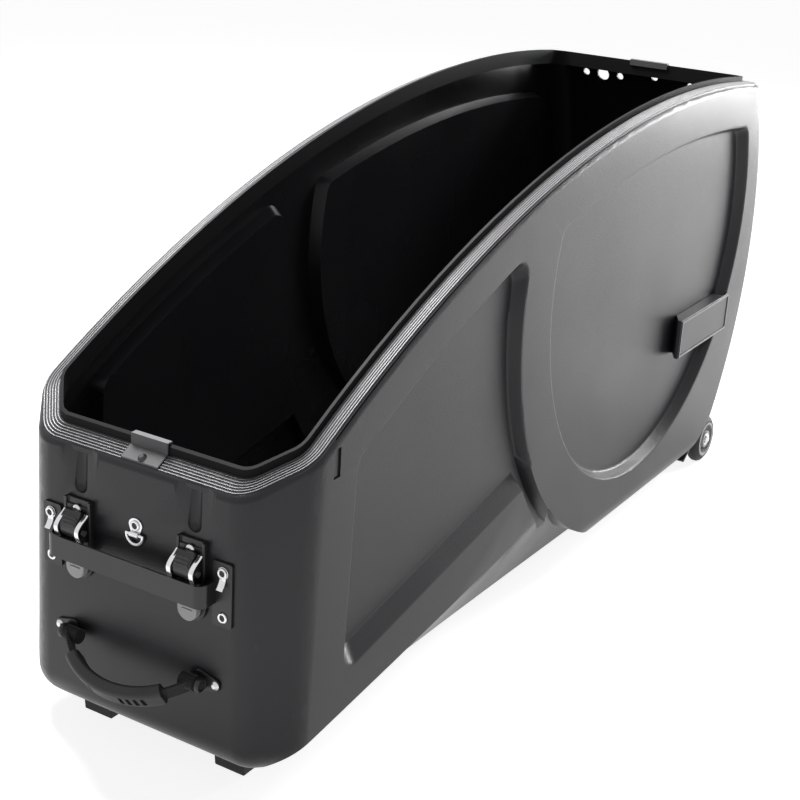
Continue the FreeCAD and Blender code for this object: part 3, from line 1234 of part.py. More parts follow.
def make_badges():
    """Plate flush with the side, thick where it stands over the recessed wheel."""
    face = -SHELL_HALF_WIDTH
    low = BADGE_MIDDLE - BADGE_HEIGHT / 2
    high = BADGE_MIDDLE + BADGE_HEIGHT / 2
    front = at(BADGE_FRONT)
    cover = block(front, front + BADGE_LENGTH, face - BADGE_FACE, face, low, high)
    backing = block(front, front + BADGE_LENGTH, face, face + EMBOSS_DEPTH, low, high)
    wall = RING_INNER_RADIUS - EMBOSS_SLOPE - EMBOSS_EDGE_RADIUS - BADGE_CLEARANCE
    wheel = rod(wall, V(at(RING_CENTRE), face, RING_HEIGHT), V(at(RING_CENTRE), 0, RING_HEIGHT))
    pair("badge", joined([cover, backing.common(wheel)]))


# Bike stand

def rail_bolt_places():
    """X of the bolts that hold the rail to the floor."""
    return [at(RAIL_FRONT + RAIL_BOLT_INSET), at(RAIL_FRONT + RAIL_LENGTH / 2),
            at(RAIL_FRONT + RAIL_LENGTH - RAIL_BOLT_INSET)]


def make_rail():
    """Slotted channel on the floor with its bolts."""
    low = FLOOR_HEIGHT + WALL
    high = low + RAIL_HEIGHT
    half = RAIL_WIDTH / 2
    front = at(RAIL_FRONT)
    rear = at(RAIL_FRONT + RAIL_LENGTH)
    body = block(front, rear, -half, half, low, high)
    hollow = block(front, rear, -half + RAIL_WALL, half - RAIL_WALL, low + RAIL_WALL, high - RAIL_WALL)
    slot = block(front, rear, -RAIL_SLOT / 2, RAIL_SLOT / 2, high - RAIL_WALL, high)
    holes = [rod(SCREW_RADIUS + FIT, V(x, 0, 0), V(x, 0, low + RAIL_WALL)) for x in rail_bolt_places()]
    parts["stand_rail"] = body.cut([hollow, slot] + holes)
    seat = low + RAIL_WALL
    washer = FLOOR_HEIGHT
    profile = [(0, washer - RIVET_TAIL), (SCREW_HEAD_RADIUS, washer - RIVET_TAIL), (SCREW_HEAD_RADIUS, washer),
               (SCREW_RADIUS, washer), (SCREW_RADIUS, seat), (SCREW_HEAD_RADIUS, seat),
               (SCREW_HEAD_RADIUS, seat + SCREW_HEAD), (0, seat + SCREW_HEAD)]
    parts["rail_bolts"] = group([turned(profile, V(x, 0, 0), ALONG_Z) for x in rail_bolt_places()])


def rail_top():
    """Height of the underside of what slides on the rail."""
    return FLOOR_HEIGHT + WALL + RAIL_HEIGHT + CARRIAGE_PLAY


def carriage(position):
    """Sliding plate with a key that runs in the rail slot, and a hole for its clamp bolt."""
    low = rail_top()
    x = at(position)
    half = RAIL_WIDTH / 2
    sheet = block(x - CARRIAGE_LENGTH / 2, x + CARRIAGE_LENGTH / 2, -half, half, low, low + CARRIAGE_PLATE)
    key_half = RAIL_SLOT / 2 - CARRIAGE_PLAY
    key = block(x - CARRIAGE_LENGTH / 2, x + CARRIAGE_LENGTH / 2, -key_half, key_half, low - RAIL_WALL, low)
    bolt = V(x + CLAMP_OFFSET, 0, low)
    hole = rod(CLAMP_BOLT_RADIUS + FIT, bolt - ALONG_Z * RAIL_WALL, bolt + ALONG_Z * CARRIAGE_PLATE)
    return joined([sheet, key]).cut(hole)


def clamp_bolt(position):
    """Bolt with its head under the rail lips and its nut on the carriage."""
    lip = FLOOR_HEIGHT + WALL + RAIL_HEIGHT - RAIL_WALL - CARRIAGE_PLAY
    top = rail_top() + CARRIAGE_PLATE
    profile = [(0, lip - CLAMP_HEAD), (CLAMP_HEAD_RADIUS, lip - CLAMP_HEAD), (CLAMP_HEAD_RADIUS, lip),
               (CLAMP_BOLT_RADIUS, lip), (CLAMP_BOLT_RADIUS, top), (CLAMP_HEAD_RADIUS, top),
               (CLAMP_HEAD_RADIUS, top + CLAMP_HEAD), (CLAMP_BOLT_RADIUS, top + CLAMP_HEAD * 2),
               (0, top + CLAMP_HEAD * 2)]
    return turned(profile, V(at(position) + CLAMP_OFFSET, 0, 0), ALONG_Z)


def make_fork_mount():
    """Carriage with a post and a cross tube for the fork ends, with its skewer, nut and lever."""
    x = at(FORK_POSITION)
    axis_z = rail_top() + FORK_HEIGHT
    half = FORK_POST / 2
    post = block(x - half, x + half - CLAMP_BOLT_RADIUS, -half, half, rail_top(), axis_z)
    tube = rod(FORK_TUBE_RADIUS, V(x, -FORK_HALF_WIDTH, axis_z), V(x, FORK_HALF_WIDTH, axis_z))
    stub = FORK_HALF_WIDTH + FORK_STUB
    stubs = rod(FORK_STUB_RADIUS, V(x, -stub, axis_z), V(x, stub, axis_z))
    bore = rod(SKEWER_BORE, V(x, -OVERRUN * 2, axis_z), V(x, OVERRUN * 2, axis_z))
    parts["fork_mount"] = joined([carriage(FORK_POSITION), post, tube, stubs]).cut(bore)
    parts["fork_bolt"] = clamp_bolt(FORK_POSITION)
    nut_face = FORK_HALF_WIDTH + FORK_END_ROOM
    nut = turned([(SKEWER_RADIUS + FIT, 0), (SKEWER_NUT_RADIUS, 0), (SKEWER_NUT_RADIUS, SKEWER_NUT / 2),
                  (SKEWER_NUT_RADIUS - SKEWER_RADIUS, SKEWER_NUT), (SKEWER_RADIUS + FIT, SKEWER_NUT)],
                 V(x, nut_face, axis_z), ALONG_Y)
    parts["skewer_nut"] = nut
    make_skewer(x, axis_z)


def cam_middle(x, axis_z):
    """Middle of the lever's pivot pin."""
    return V(x, -FORK_HALF_WIDTH - SKEWER_END + CAM_RADIUS, axis_z)


def make_skewer(x, axis_z):
    """Skewer rod with a forked head, and the cam lever that turns over in it."""
    face = -FORK_HALF_WIDTH - FORK_END_ROOM
    pivot = cam_middle(x, axis_z)
    rod_end = V(x, face, axis_z)
    shaft = rod(SKEWER_RADIUS, V(x, FORK_HALF_WIDTH + FORK_END_ROOM + SKEWER_NUT, axis_z), rod_end)
    head_half = CAM_HALF_WIDTH + SKEWER_RADIUS + CARRIAGE_PLAY
    head = block(x - head_half, x + head_half, pivot.y - CAM_RADIUS / 2, face,
                 axis_z - CAM_RADIUS / 2, axis_z + CAM_RADIUS / 2)
    swing = math.hypot(CAM_RADIUS, CAM_RADIUS / 2) + CARRIAGE_PLAY
    room = rod(swing, pivot - ALONG_X * (CAM_HALF_WIDTH + CARRIAGE_PLAY),
               pivot + ALONG_X * (CAM_HALF_WIDTH + CARRIAGE_PLAY))
    pin = rod(CAM_PIN_RADIUS, pivot - ALONG_X * head_half, pivot + ALONG_X * head_half)
    parts["fork_skewer"] = joined([shaft, head.cut(room), pin])
    half = ALONG_X * CAM_HALF_WIDTH
    cam = rod(CAM_RADIUS, pivot - half, pivot + half)
    arm = block(x - CAM_HALF_WIDTH, x + CAM_HALF_WIDTH, pivot.y - CAM_RADIUS,
                pivot.y - CAM_RADIUS + SKEWER_LEVER_THICKNESS, axis_z, axis_z + SKEWER_LEVER_LENGTH)
    bore = rod(CAM_PIN_RADIUS + FIT, pivot - half * 2, pivot + half * 2)
    parts["skewer_lever"] = joined([cam, arm]).cut(bore)


def make_cradle():
    """Carriage with a post and a padded saddle under the bicycle frame."""
    x = at(CRADLE_POSITION)
    top = rail_top() + CRADLE_HEIGHT
    half = CRADLE_POST / 2
    post = block(x - half, x + half - CLAMP_BOLT_RADIUS, -half, half, rail_top(), top)
    seat_radius = CRADLE_SADDLE_RADIUS
    centre_z = top + seat_radius / 2
    left = V(x, CRADLE_HALF_WIDTH, centre_z)
    right = V(x, -CRADLE_HALF_WIDTH, centre_z)
    shell = rod(seat_radius + PAD_THICKNESS + CRADLE_WALL, right, left)
    hollow = rod(seat_radius + PAD_THICKNESS, right, left)
    open_top = block(x - seat_radius * 2, x + seat_radius * 2, right.y, left.y, centre_z, centre_z + OVERRUN)
    saddle = shell.cut(open_top)
    body = joined([carriage(CRADLE_POSITION), post, saddle]).cut(hollow)
    parts["frame_cradle"] = body
    pad = rod(seat_radius + PAD_THICKNESS, right, left).cut([rod(seat_radius, right, left), open_top])
    parts["cradle_pad"] = pad
    parts["cradle_bolt"] = clamp_bolt(CRADLE_POSITION)


make_shell()
make_lip()
make_catches()
make_badges()
make_buckles()
make_guard()
make_tie_ring()
make_handle()
make_feet()
make_wheel_brackets()
make_wheels()
make_rail()
make_fork_mount()
make_cradle()

os.makedirs("parts", exist_ok=True)
for name, shape in sorted(parts.items()):
    shape.exportStep("parts/" + name + ".step")
    box = shape.BoundBox
    print(name, len(shape.Solids), shape.isValid(), round(shape.Volume),
          [round(v, 1) for v in (box.XMin, box.XMax, box.YMin, box.YMax, box.ZMin, box.ZMax)])
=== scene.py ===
"""Base half of a hard bike travel case, dressed for a studio picture."""
import math

import bmesh
import bpy
from mathutils import Matrix, Vector


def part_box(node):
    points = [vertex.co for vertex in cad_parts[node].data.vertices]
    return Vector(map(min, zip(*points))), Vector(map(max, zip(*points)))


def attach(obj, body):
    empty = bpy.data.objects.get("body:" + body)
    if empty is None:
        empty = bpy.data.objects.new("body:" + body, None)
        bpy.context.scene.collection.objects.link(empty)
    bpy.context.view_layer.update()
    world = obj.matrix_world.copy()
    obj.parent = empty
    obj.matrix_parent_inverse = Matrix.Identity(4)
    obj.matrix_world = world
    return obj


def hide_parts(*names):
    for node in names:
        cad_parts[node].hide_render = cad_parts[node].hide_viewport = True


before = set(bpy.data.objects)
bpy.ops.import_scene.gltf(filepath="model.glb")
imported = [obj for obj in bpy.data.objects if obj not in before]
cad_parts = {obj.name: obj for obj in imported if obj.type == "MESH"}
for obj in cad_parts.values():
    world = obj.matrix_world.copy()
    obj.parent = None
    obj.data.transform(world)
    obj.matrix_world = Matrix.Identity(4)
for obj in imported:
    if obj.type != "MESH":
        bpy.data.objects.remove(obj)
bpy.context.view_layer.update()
scene = bpy.context.scene
scene.view_settings.view_transform = "Standard"


# Base shell
# The open tub of the case: black sheet with a fine pressed grain, drawn over a mould in one piece.
# Everything else is riveted, screwed or pushed on to it.

def add_node(tree, kind, **inputs):
    """New node with some of its unlinked inputs set by name."""
    node = tree.nodes.new(kind)
    for name, value in inputs.items():
        node.inputs[name.replace("_", " ")].default_value = value
    return node


def add_sockets(tree, inputs, outputs):
    """Named sockets of a node group; inputs carry their defaults."""
    for name, kind, default in inputs:
        socket = tree.interface.new_socket(name, in_out="INPUT", socket_type=kind)
        if default is not None:
            socket.default_value = default
    for name, kind in outputs:
        tree.interface.new_socket(name, in_out="OUTPUT", socket_type=kind)
    return tree.nodes.new("NodeGroupInput"), tree.nodes.new("NodeGroupOutput")


MERGE_DISTANCE = 0.00001


def fair_faces_tree():
    """Merges a solid's loose triangles and keeps only its real edges sharp."""
    tree = bpy.data.node_groups.new("fair_faces", "GeometryNodeTree")
    tree.is_modifier = True
    start, end = add_sockets(
        tree,
        [("Geometry", "NodeSocketGeometry", None), ("Merge distance", "NodeSocketFloat", MERGE_DISTANCE),
         ("Crease angle", "NodeSocketFloat", math.radians(30))],
        [("Geometry", "NodeSocketGeometry")])
    link = tree.links.new
    merge = tree.nodes.new("GeometryNodeMergeByDistance")
    link(start.outputs["Geometry"], merge.inputs["Geometry"])
    link(start.outputs["Merge distance"], merge.inputs["Distance"])
    angle = tree.nodes.new("GeometryNodeInputMeshEdgeAngle")
    round_edge = tree.nodes.new("FunctionNodeCompare")
    round_edge.operation = "LESS_THAN"
    link(angle.outputs["Unsigned Angle"], round_edge.inputs["A"])
    link(start.outputs["Crease angle"], round_edge.inputs["B"])
    faces = tree.nodes.new("GeometryNodeSetShadeSmooth")
    link(merge.outputs["Geometry"], faces.inputs["Geometry"])
    edges = tree.nodes.new("GeometryNodeSetShadeSmooth")
    edges.domain = "EDGE"
    link(faces.outputs["Geometry"], edges.inputs["Geometry"])
    link(round_edge.outputs["Result"], edges.inputs["Shade Smooth"])
    link(edges.outputs["Geometry"], end.inputs["Geometry"])
    return tree


FAIR_FACES = fair_faces_tree()


def break_edges(piece, width):
    """Small bevel along the sharp edges."""
    broken = piece.modifiers.new("broken_edges", "BEVEL")
    broken.width = width
    broken.segments = 2
    broken.limit_method = "ANGLE"
    return broken


def dress(material, *names, edge=0.0):
    """Gives solids their finish, smooth round faces, clean flat ones and broken edges."""
    for name in names:
        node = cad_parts[name]
        node.data.materials.clear()
        node.data.materials.append(material)
        fair = node.modifiers.new("fair_faces", "NODES")
        fair.node_group = FAIR_FACES
        if edge:
            break_edges(node, edge)
        normals = node.modifiers.new("flat_faces", "WEIGHTED_NORMAL")
        normals.keep_sharp = True


def grain_group():
    """Pressed grain of moulded and drawn plastic: fine height, slow patches and sparse scuffs."""
    tree = bpy.data.node_groups.new("moulded_grain", "ShaderNodeTree")
    start, end = add_sockets(
        tree,
        [("Vector", "NodeSocketVector", None), ("Grain scale", "NodeSocketFloat", 900.0),
         ("Scuff scale", "NodeSocketFloat", 14.0)],
        [("Height", "NodeSocketFloat"), ("Patch", "NodeSocketFloat"), ("Scuff", "NodeSocketFloat")])
    link = tree.links.new
    fine = add_node(tree, "ShaderNodeTexNoise", Detail=2.0, Roughness=0.55)
    link(start.outputs["Vector"], fine.inputs["Vector"])
    link(start.outputs["Grain scale"], fine.inputs["Scale"])
    cells = tree.nodes.new("ShaderNodeTexVoronoi")
    link(start.outputs["Vector"], cells.inputs["Vector"])
    link(start.outputs["Grain scale"], cells.inputs["Scale"])
    height = tree.nodes.new("ShaderNodeMath")
    height.operation = "ADD"
    link(fine.outputs["Fac"], height.inputs[0])
    link(cells.outputs["Distance"], height.inputs[1])
    patch = add_node(tree, "ShaderNodeTexNoise", Scale=5.0, Detail=3.0)
    link(start.outputs["Vector"], patch.inputs["Vector"])
    marks = add_node(tree, "ShaderNodeTexNoise", Detail=6.0, Roughness=0.7, Distortion=1.2)
    link(start.outputs["Vector"], marks.inputs["Vector"])
    link(start.outputs["Scuff scale"], marks.inputs["Scale"])
    sparse = add_node(tree, "ShaderNodeMapRange", From_Min=0.62, From_Max=0.74)
    link(marks.outputs["Fac"], sparse.inputs["Value"])
    link(height.outputs["Value"], end.inputs["Height"])
    link(patch.outputs["Fac"], end.inputs["Patch"])
    link(sparse.outputs["Result"], end.inputs["Scuff"])
    return tree


MOULDED_GRAIN = grain_group()


def blend_colour(tree, first, second, factor):
    """Base colour that goes from one tone to another."""
    tone = tree.nodes.new("ShaderNodeMix")
    tone.data_type = "RGBA"
    tone.inputs["A"].default_value = (*first, 1)
    tone.inputs["B"].default_value = (*second, 1)
    tree.links.new(factor, tone.inputs["Factor"])
    tree.links.new(tone.outputs["Result"], tree.nodes["Principled BSDF"].inputs["Base Color"])


def plastic(name, colour, scuffed, rough, scuffed_rough,
            grain=900.0, depth=0.0002, strength=0.3, ior=1.46):
    """Grained plastic: its colour and gloss change a little in patches and where it has been rubbed."""
    material = bpy.data.materials.new(name)
    material.use_nodes = True
    tree = material.node_tree
    link = tree.links.new
    shader = tree.nodes["Principled BSDF"]
    shader.inputs["IOR"].default_value = ior
    place = tree.nodes.new("ShaderNodeTexCoord")
    surface = tree.nodes.new("ShaderNodeGroup")
    surface.node_tree = MOULDED_GRAIN
    surface.inputs["Grain scale"].default_value = grain
    link(place.outputs["Object"], surface.inputs["Vector"])
    blend_colour(tree, colour, scuffed, surface.outputs["Scuff"])
    gloss = add_node(tree, "ShaderNodeMapRange", From_Min=0.3, From_Max=0.7,
                     To_Min=rough, To_Max=scuffed_rough)
    link(surface.outputs["Patch"], gloss.inputs["Value"])
    link(gloss.outputs["Result"], shader.inputs["Roughness"])
    bump = add_node(tree, "ShaderNodeBump", Strength=strength, Distance=depth)
    link(surface.outputs["Height"], bump.inputs["Height"])
    link(bump.outputs["Normal"], shader.inputs["Normal"])
    return material


SHELL_SHEET = plastic("shell_sheet", (0.021, 0.019, 0.023), (0.033, 0.030, 0.035), 0.29, 0.37,
                      grain=620.0, depth=0.0004, strength=0.35, ior=1.37)
# Inner faces: smoother than the pressed outside (real), and darker as painted shade where the tub's walls
# face each other.
SHADED_SMOOTH_INSIDE = plastic("smooth_inside_painted_shade", (0.014, 0.014, 0.016), (0.02, 0.02, 0.022), 0.24, 0.32,
                        grain=300.0, strength=0.06)
dress(SHELL_SHEET, "base_shell")


def shaded_inside_skin_tree():
    """Gives another finish to the faces that look at another wall of the same tub: smoother, and darker as
    painted shade.
    """
    tree = bpy.data.node_groups.new("inside_skin_painted_shade", "GeometryNodeTree")
    tree.is_modifier = True
    start, end = add_sockets(
        tree,
        [("Geometry", "NodeSocketGeometry", None), ("Sight length", "NodeSocketFloat", 1.5),
         ("Least distance", "NodeSocketFloat", 0.1), ("Lift", "NodeSocketFloat", 0.0005),
         ("Material", "NodeSocketMaterial", None)],
        [("Geometry", "NodeSocketGeometry")])
    link = tree.links.new
    place = tree.nodes.new("GeometryNodeInputPosition")
    facing = tree.nodes.new("GeometryNodeInputNormal")
    lift = tree.nodes.new("ShaderNodeVectorMath")
    lift.operation = "MULTIPLY_ADD"
    link(facing.outputs["Normal"], lift.inputs[0])
    link(start.outputs["Lift"], lift.inputs[1])
    link(place.outputs["Position"], lift.inputs[2])
    sight = tree.nodes.new("GeometryNodeRaycast")
    link(start.outputs["Geometry"], sight.inputs["Target Geometry"])
    link(lift.outputs["Vector"], sight.inputs["Source Position"])
    link(facing.outputs["Normal"], sight.inputs["Ray Direction"])
    link(start.outputs["Sight length"], sight.inputs["Ray Length"])
    far_wall = tree.nodes.new("FunctionNodeCompare")
    link(sight.outputs["Hit Distance"], far_wall.inputs["A"])
    link(start.outputs["Least distance"], far_wall.inputs["B"])
    shaded_faces_in = tree.nodes.new("FunctionNodeBooleanMath")
    link(sight.outputs["Is Hit"], shaded_faces_in.inputs[0])
    link(far_wall.outputs["Result"], shaded_faces_in.inputs[1])
    finish = tree.nodes.new("GeometryNodeSetMaterial")
    link(start.outputs["Geometry"], finish.inputs["Geometry"])
    link(shaded_faces_in.outputs["Boolean"], finish.inputs["Selection"])
    link(start.outputs["Material"], finish.inputs["Material"])
    link(finish.outputs["Geometry"], end.inputs["Geometry"])
    return tree


def set_inputs(modifier, **values):
    """Sets a tree's inputs, each by its socket's identifier."""
    named = {item.name: item.identifier for item in modifier.node_group.interface.items_tree
             if item.item_type == "SOCKET" and item.in_out == "INPUT"}
    for name, value in values.items():
        modifier[named[name.replace("_", " ")]] = value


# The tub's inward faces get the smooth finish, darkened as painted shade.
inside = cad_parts["base_shell"].modifiers.new("inside_skin_painted_shade", "NODES")
inside.node_group = shaded_inside_skin_tree()
set_inputs(inside, Material=SHADED_SMOOTH_INSIDE)


# Rim lip
# Thin black locating strip that stands up round the mouth, inside the ledge.
# It is an extrusion bent to the outline and pressed into the shell.

LIP_STRIP = plastic("lip_strip", (0.012, 0.012, 0.013), (0.03, 0.03, 0.031), 0.5, 0.6,
                    grain=1500.0, strength=0.15, ior=1.2)
dress(LIP_STRIP, "rim_lip")


# Ribbed ledge
# Band on which the case closes: flat ribs in the black sheet, side by side, with a painted highlight in pale
# grey on their upward crowns.
# They are pressed with the shell, and run beside the lip from the tail, round the nose and back to the tail.

MM = 0.001
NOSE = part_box("base_shell")[0][0]
RIM_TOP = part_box("rim_lip")[1][2]
RIM_RADIUS = 2.078
RIM_APEX = NOSE + 1.101
LIP_RISE = 8.0 * MM
LIP_LINE = [(1.352, 0.05), (1.352, 0.179), (0.0705, 0.179), (0.025, 0.1377)]
LIP_CORNER = 0.03
LEDGE_SECTION = [(0.3, -0.8), (20.2, -0.8), (21.0, -1.4), (21.0, -7.0), (0.3, -7.0)]
SMOOTH_ANGLE = math.radians(32)
# Pale grey for the ribs' upward crowns: a painted highlight, not the sheet's own tone.
PAINTED_HIGHLIGHT_SHEET = plastic("painted_highlight_sheet", (0.23, 0.225, 0.236), (0.29, 0.284, 0.296), 0.26, 0.36,
                       grain=700.0, strength=0.2, ior=1.55)


def rim_height(x):
    """Height of the ledge over a place on the X axis."""
    return RIM_TOP - RIM_RADIUS + math.sqrt((RIM_RADIUS - LIP_RISE) ** 2 - (x - RIM_APEX) ** 2)


def rim_line(corners, radius, steps=9, spacing=0.006):
    """Points beside the lip with round corners, from the tail over the nose to the tail."""
    points = [Vector((NOSE + along, -across, 0)) for along, across in corners]
    points += [Vector((NOSE + along, across, 0)) for along, across in reversed(corners)]
    line = [points[0]]
    for before, corner, after in zip(points, points[1:], points[2:]):
        into = (corner - before).normalized()
        onward = (after - corner).normalized()
        reach = radius * math.tan(into.angle(onward) / 2)
        low = corner - into * reach
        high = corner + onward * reach
        for step in range(steps):
            share = step / (steps - 1)
            line.append(low.lerp(corner, share).lerp(corner.lerp(high, share), share))
    line.append(points[-1])
    dense = []
    for first, second in zip(line, line[1:]):
        count = max(1, round((second - first).length / spacing))
        dense += [first.lerp(second, step / count) for step in range(count)]
    return dense + [line[-1]]


def rib_tree():
    """Several parallel ribs beside a path, sunk so that only their crowns stand out."""
    tree = bpy.data.node_groups.new("ledge_ribs", "GeometryNodeTree")
    tree.is_modifier = True
    start, end = add_sockets(
        tree,
        [("Geometry", "NodeSocketGeometry", None), ("Count", "NodeSocketInt", 6),
         ("First offset", "NodeSocketFloat", 2.4 * MM), ("Pitch", "NodeSocketFloat", 3.3 * MM),
         ("Rib width", "NodeSocketFloat", 2.2 * MM), ("Rib depth", "NodeSocketFloat", 3.0 * MM),
         ("Sink", "NodeSocketFloat", 1.1 * MM),
         ("Arc radius", "NodeSocketFloat", RIM_RADIUS - LIP_RISE),
         ("Arc apex", "NodeSocketFloat", RIM_APEX),
         ("Arc centre height", "NodeSocketFloat", RIM_TOP - RIM_RADIUS),
         ("Crown slope", "NodeSocketFloat", 0.6), ("Flank material", "NodeSocketMaterial", None),
         ("Crown material", "NodeSocketMaterial", None)],
        [("Geometry", "NodeSocketGeometry")])
    link = tree.links.new

    def maths(operation, *values):
        node = tree.nodes.new("ShaderNodeMath")
        node.operation = operation
        for value, socket in zip(values, node.inputs):
            if isinstance(value, (int, float)):
                socket.default_value = value
            else:
                link(value, socket)
        return node.outputs["Value"]

    copies = tree.nodes.new("GeometryNodeDuplicateElements")
    copies.domain = "SPLINE"
    link(start.outputs["Geometry"], copies.inputs["Geometry"])
    link(start.outputs["Count"], copies.inputs["Amount"])
    stored = tree.nodes.new("GeometryNodeCaptureAttribute")
    stored.domain = "CURVE"
    stored.capture_items.new("FLOAT", "Step")
    link(copies.outputs["Geometry"], stored.inputs["Geometry"])
    link(copies.outputs["Duplicate Index"], stored.inputs["Step"])
    aside = maths("ADD", start.outputs["First offset"],
                  maths("MULTIPLY", stored.outputs["Step"], start.outputs["Pitch"]))
    tangent = tree.nodes.new("GeometryNodeInputTangent")
    outward = tree.nodes.new("ShaderNodeVectorMath")
    outward.operation = "CROSS_PRODUCT"
    outward.inputs[0].default_value = (0, 0, 1)
    link(tangent.outputs["Tangent"], outward.inputs[1])
    unit = tree.nodes.new("ShaderNodeVectorMath")
    unit.operation = "NORMALIZE"
    link(outward.outputs["Vector"], unit.inputs[0])
    shift = tree.nodes.new("ShaderNodeVectorMath")
    shift.operation = "SCALE"
    link(unit.outputs["Vector"], shift.inputs[0])
    link(aside, shift.inputs["Scale"])
    place = tree.nodes.new("GeometryNodeInputPosition")
    beside = tree.nodes.new("ShaderNodeVectorMath")
    link(place.outputs["Position"], beside.inputs[0])
    link(shift.outputs["Vector"], beside.inputs[1])
    spot = tree.nodes.new("ShaderNodeSeparateXYZ")
    link(beside.outputs["Vector"], spot.inputs["Vector"])
    away = maths("SUBTRACT", spot.outputs["X"], start.outputs["Arc apex"])
    arc = start.outputs["Arc radius"]
    squares = maths("SUBTRACT", maths("MULTIPLY", arc, arc), maths("MULTIPLY", away, away))
    rise = maths("SQRT", squares)
    top = maths("ADD", rise, start.outputs["Arc centre height"])
    height = maths("SUBTRACT", top, start.outputs["Sink"])
    seat = tree.nodes.new("ShaderNodeCombineXYZ")
    link(spot.outputs["X"], seat.inputs["X"])
    link(spot.outputs["Y"], seat.inputs["Y"])
    link(height, seat.inputs["Z"])
    moved = tree.nodes.new("GeometryNodeSetPosition")
    link(stored.outputs["Geometry"], moved.inputs["Geometry"])
    link(seat.outputs["Vector"], moved.inputs["Position"])
    section = tree.nodes.new("GeometryNodeCurvePrimitiveQuadrilateral")
    link(start.outputs["Rib width"], section.inputs["Width"])
    link(start.outputs["Rib depth"], section.inputs["Height"])
    mesh = tree.nodes.new("GeometryNodeCurveToMesh")
    mesh.inputs["Fill Caps"].default_value = True
    upright = tree.nodes.new("GeometryNodeSetCurveNormal")
    upright.mode = "Z_UP"
    link(moved.outputs["Geometry"], upright.inputs["Curve"])
    link(upright.outputs["Curve"], mesh.inputs["Curve"])
    link(section.outputs["Curve"], mesh.inputs["Profile Curve"])
    real = tree.nodes.new("GeometryNodeRealizeInstances")
    link(mesh.outputs["Mesh"], real.inputs["Geometry"])
    flanks = tree.nodes.new("GeometryNodeSetMaterial")
    link(real.outputs["Geometry"], flanks.inputs["Geometry"])
    link(start.outputs["Flank material"], flanks.inputs["Material"])
    facing = tree.nodes.new("GeometryNodeInputNormal")
    upward = tree.nodes.new("ShaderNodeSeparateXYZ")
    link(facing.outputs["Normal"], upward.inputs["Vector"])
    crowns = tree.nodes.new("GeometryNodeSetMaterial")
    link(flanks.outputs["Geometry"], crowns.inputs["Geometry"])
    # Faces that point upward take the pale crown material, a painted highlight.
    is_crown = maths("GREATER_THAN", upward.outputs["Z"], start.outputs["Crown slope"])
    link(is_crown, crowns.inputs["Selection"])
    link(start.outputs["Crown material"], crowns.inputs["Material"])
    link(crowns.outputs["Geometry"], end.inputs["Geometry"])
    return tree


def skin(mesh, rings, closed=False, slot=0):
    """Faces over a row of equal rings; an open row gets its two end caps."""
    rows = [[mesh.verts.new(point) for point in ring] for ring in rings]
    steps = list(zip(rows, rows[1:]))
    if closed:
        steps.append((rows[-1], rows[0]))
    faces = []
    for low, high in steps:
        for place in range(len(low)):
            after = (place + 1) % len(low)
            faces.append(mesh.faces.new((low[place], low[after], high[after], high[place])))
    if not closed:
        faces.append(mesh.faces.new(list(reversed(rows[0]))))
        faces.append(mesh.faces.new(rows[-1]))
    for face in faces:
        face.material_index = slot


def make_piece(name, mesh, materials, body, slot, *stands_for, edge=0.0):
    """Turns a mesh's faces outward, smooths its round ones, and hangs it on a body of the case."""
    bmesh.ops.recalc_face_normals(mesh, faces=mesh.faces)
    for face in mesh.faces:
        face.smooth = True
    for line in mesh.edges:
        line.smooth = line.calc_face_angle(0.0) < SMOOTH_ANGLE
    data = bpy.data.meshes.new(name)
    mesh.to_mesh(data)
    mesh.free()
    for material in materials:
        data.materials.append(material)
    piece = bpy.data.objects.new(name, data)
    scene.collection.objects.link(piece)
    if edge:
        break_edges(piece, edge).harden_normals = True
    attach(piece, body)
    if stands_for:
        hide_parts(*stands_for)


def lay_ledge():
    """Band under the ribs, and the ribs on it."""
    line = [Vector((point.x, point.y, rim_height(point.x))) for point in rim_line(LIP_LINE, LIP_CORNER)]
    rings = []
    for place, point in enumerate(line):
        along = line[min(place + 1, len(line) - 1)] - line[max(place - 1, 0)]
        outward = Vector((-along.y, along.x, 0)).normalized()
        ring = []
        for aside, rise in LEDGE_SECTION:
            spot = point + outward * aside * MM
            ring.append(Vector((spot.x, spot.y, rim_height(spot.x) + rise * MM)))
        rings.append(ring)
    mesh = bmesh.new()
    skin(mesh, rings)
    make_piece("ledge_band", mesh, [SHELL_SHEET], "case", "shell")
    curve = bpy.data.curves.new("ledge_line", "CURVE")
    curve.dimensions = "3D"
    spline = curve.splines.new("POLY")
    spline.points.add(len(line) - 1)
    for spot, point in zip(spline.points, line):
        spot.co = (*point, 1)
    carrier = bpy.data.objects.new("ledge_line", curve)
    scene.collection.objects.link(carrier)
    ribs = carrier.modifiers.new("ledge_ribs", "NODES")
    ribs.node_group = rib_tree()
    set_inputs(ribs, Flank_material=SHELL_SHEET, Crown_material=PAINTED_HIGHLIGHT_SHEET)
    laid = carrier.evaluated_get(bpy.context.evaluated_depsgraph_get())
    data = bpy.data.meshes.new_from_object(laid)
    bpy.data.objects.remove(carrier)
    piece = bpy.data.objects.new("ledge_ribs", data)
    scene.collection.objects.link(piece)
    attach(piece, "case")


lay_ledge()


# Side slots
# Short shallow slots in both sides of the shell, under the ledge and near the nose.
# They are pressed with the shell, so the floor of each is the same grained black sheet.

SIDES = {"left": 1, "right": -1}
SIDE_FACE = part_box("base_shell")[1][1]
SLOT_MIDDLE = NOSE + 101.0 * MM
SLOT_HALF_WIDTH = 6.4 * MM
SLOT_TOP = rim_height(SLOT_MIDDLE) - 14.1 * MM
SLOT_FOOT = SLOT_TOP - 35.8 * MM
SLOT_DEPTH = 2.2 * MM
SLOT_BACK = 5.8 * MM


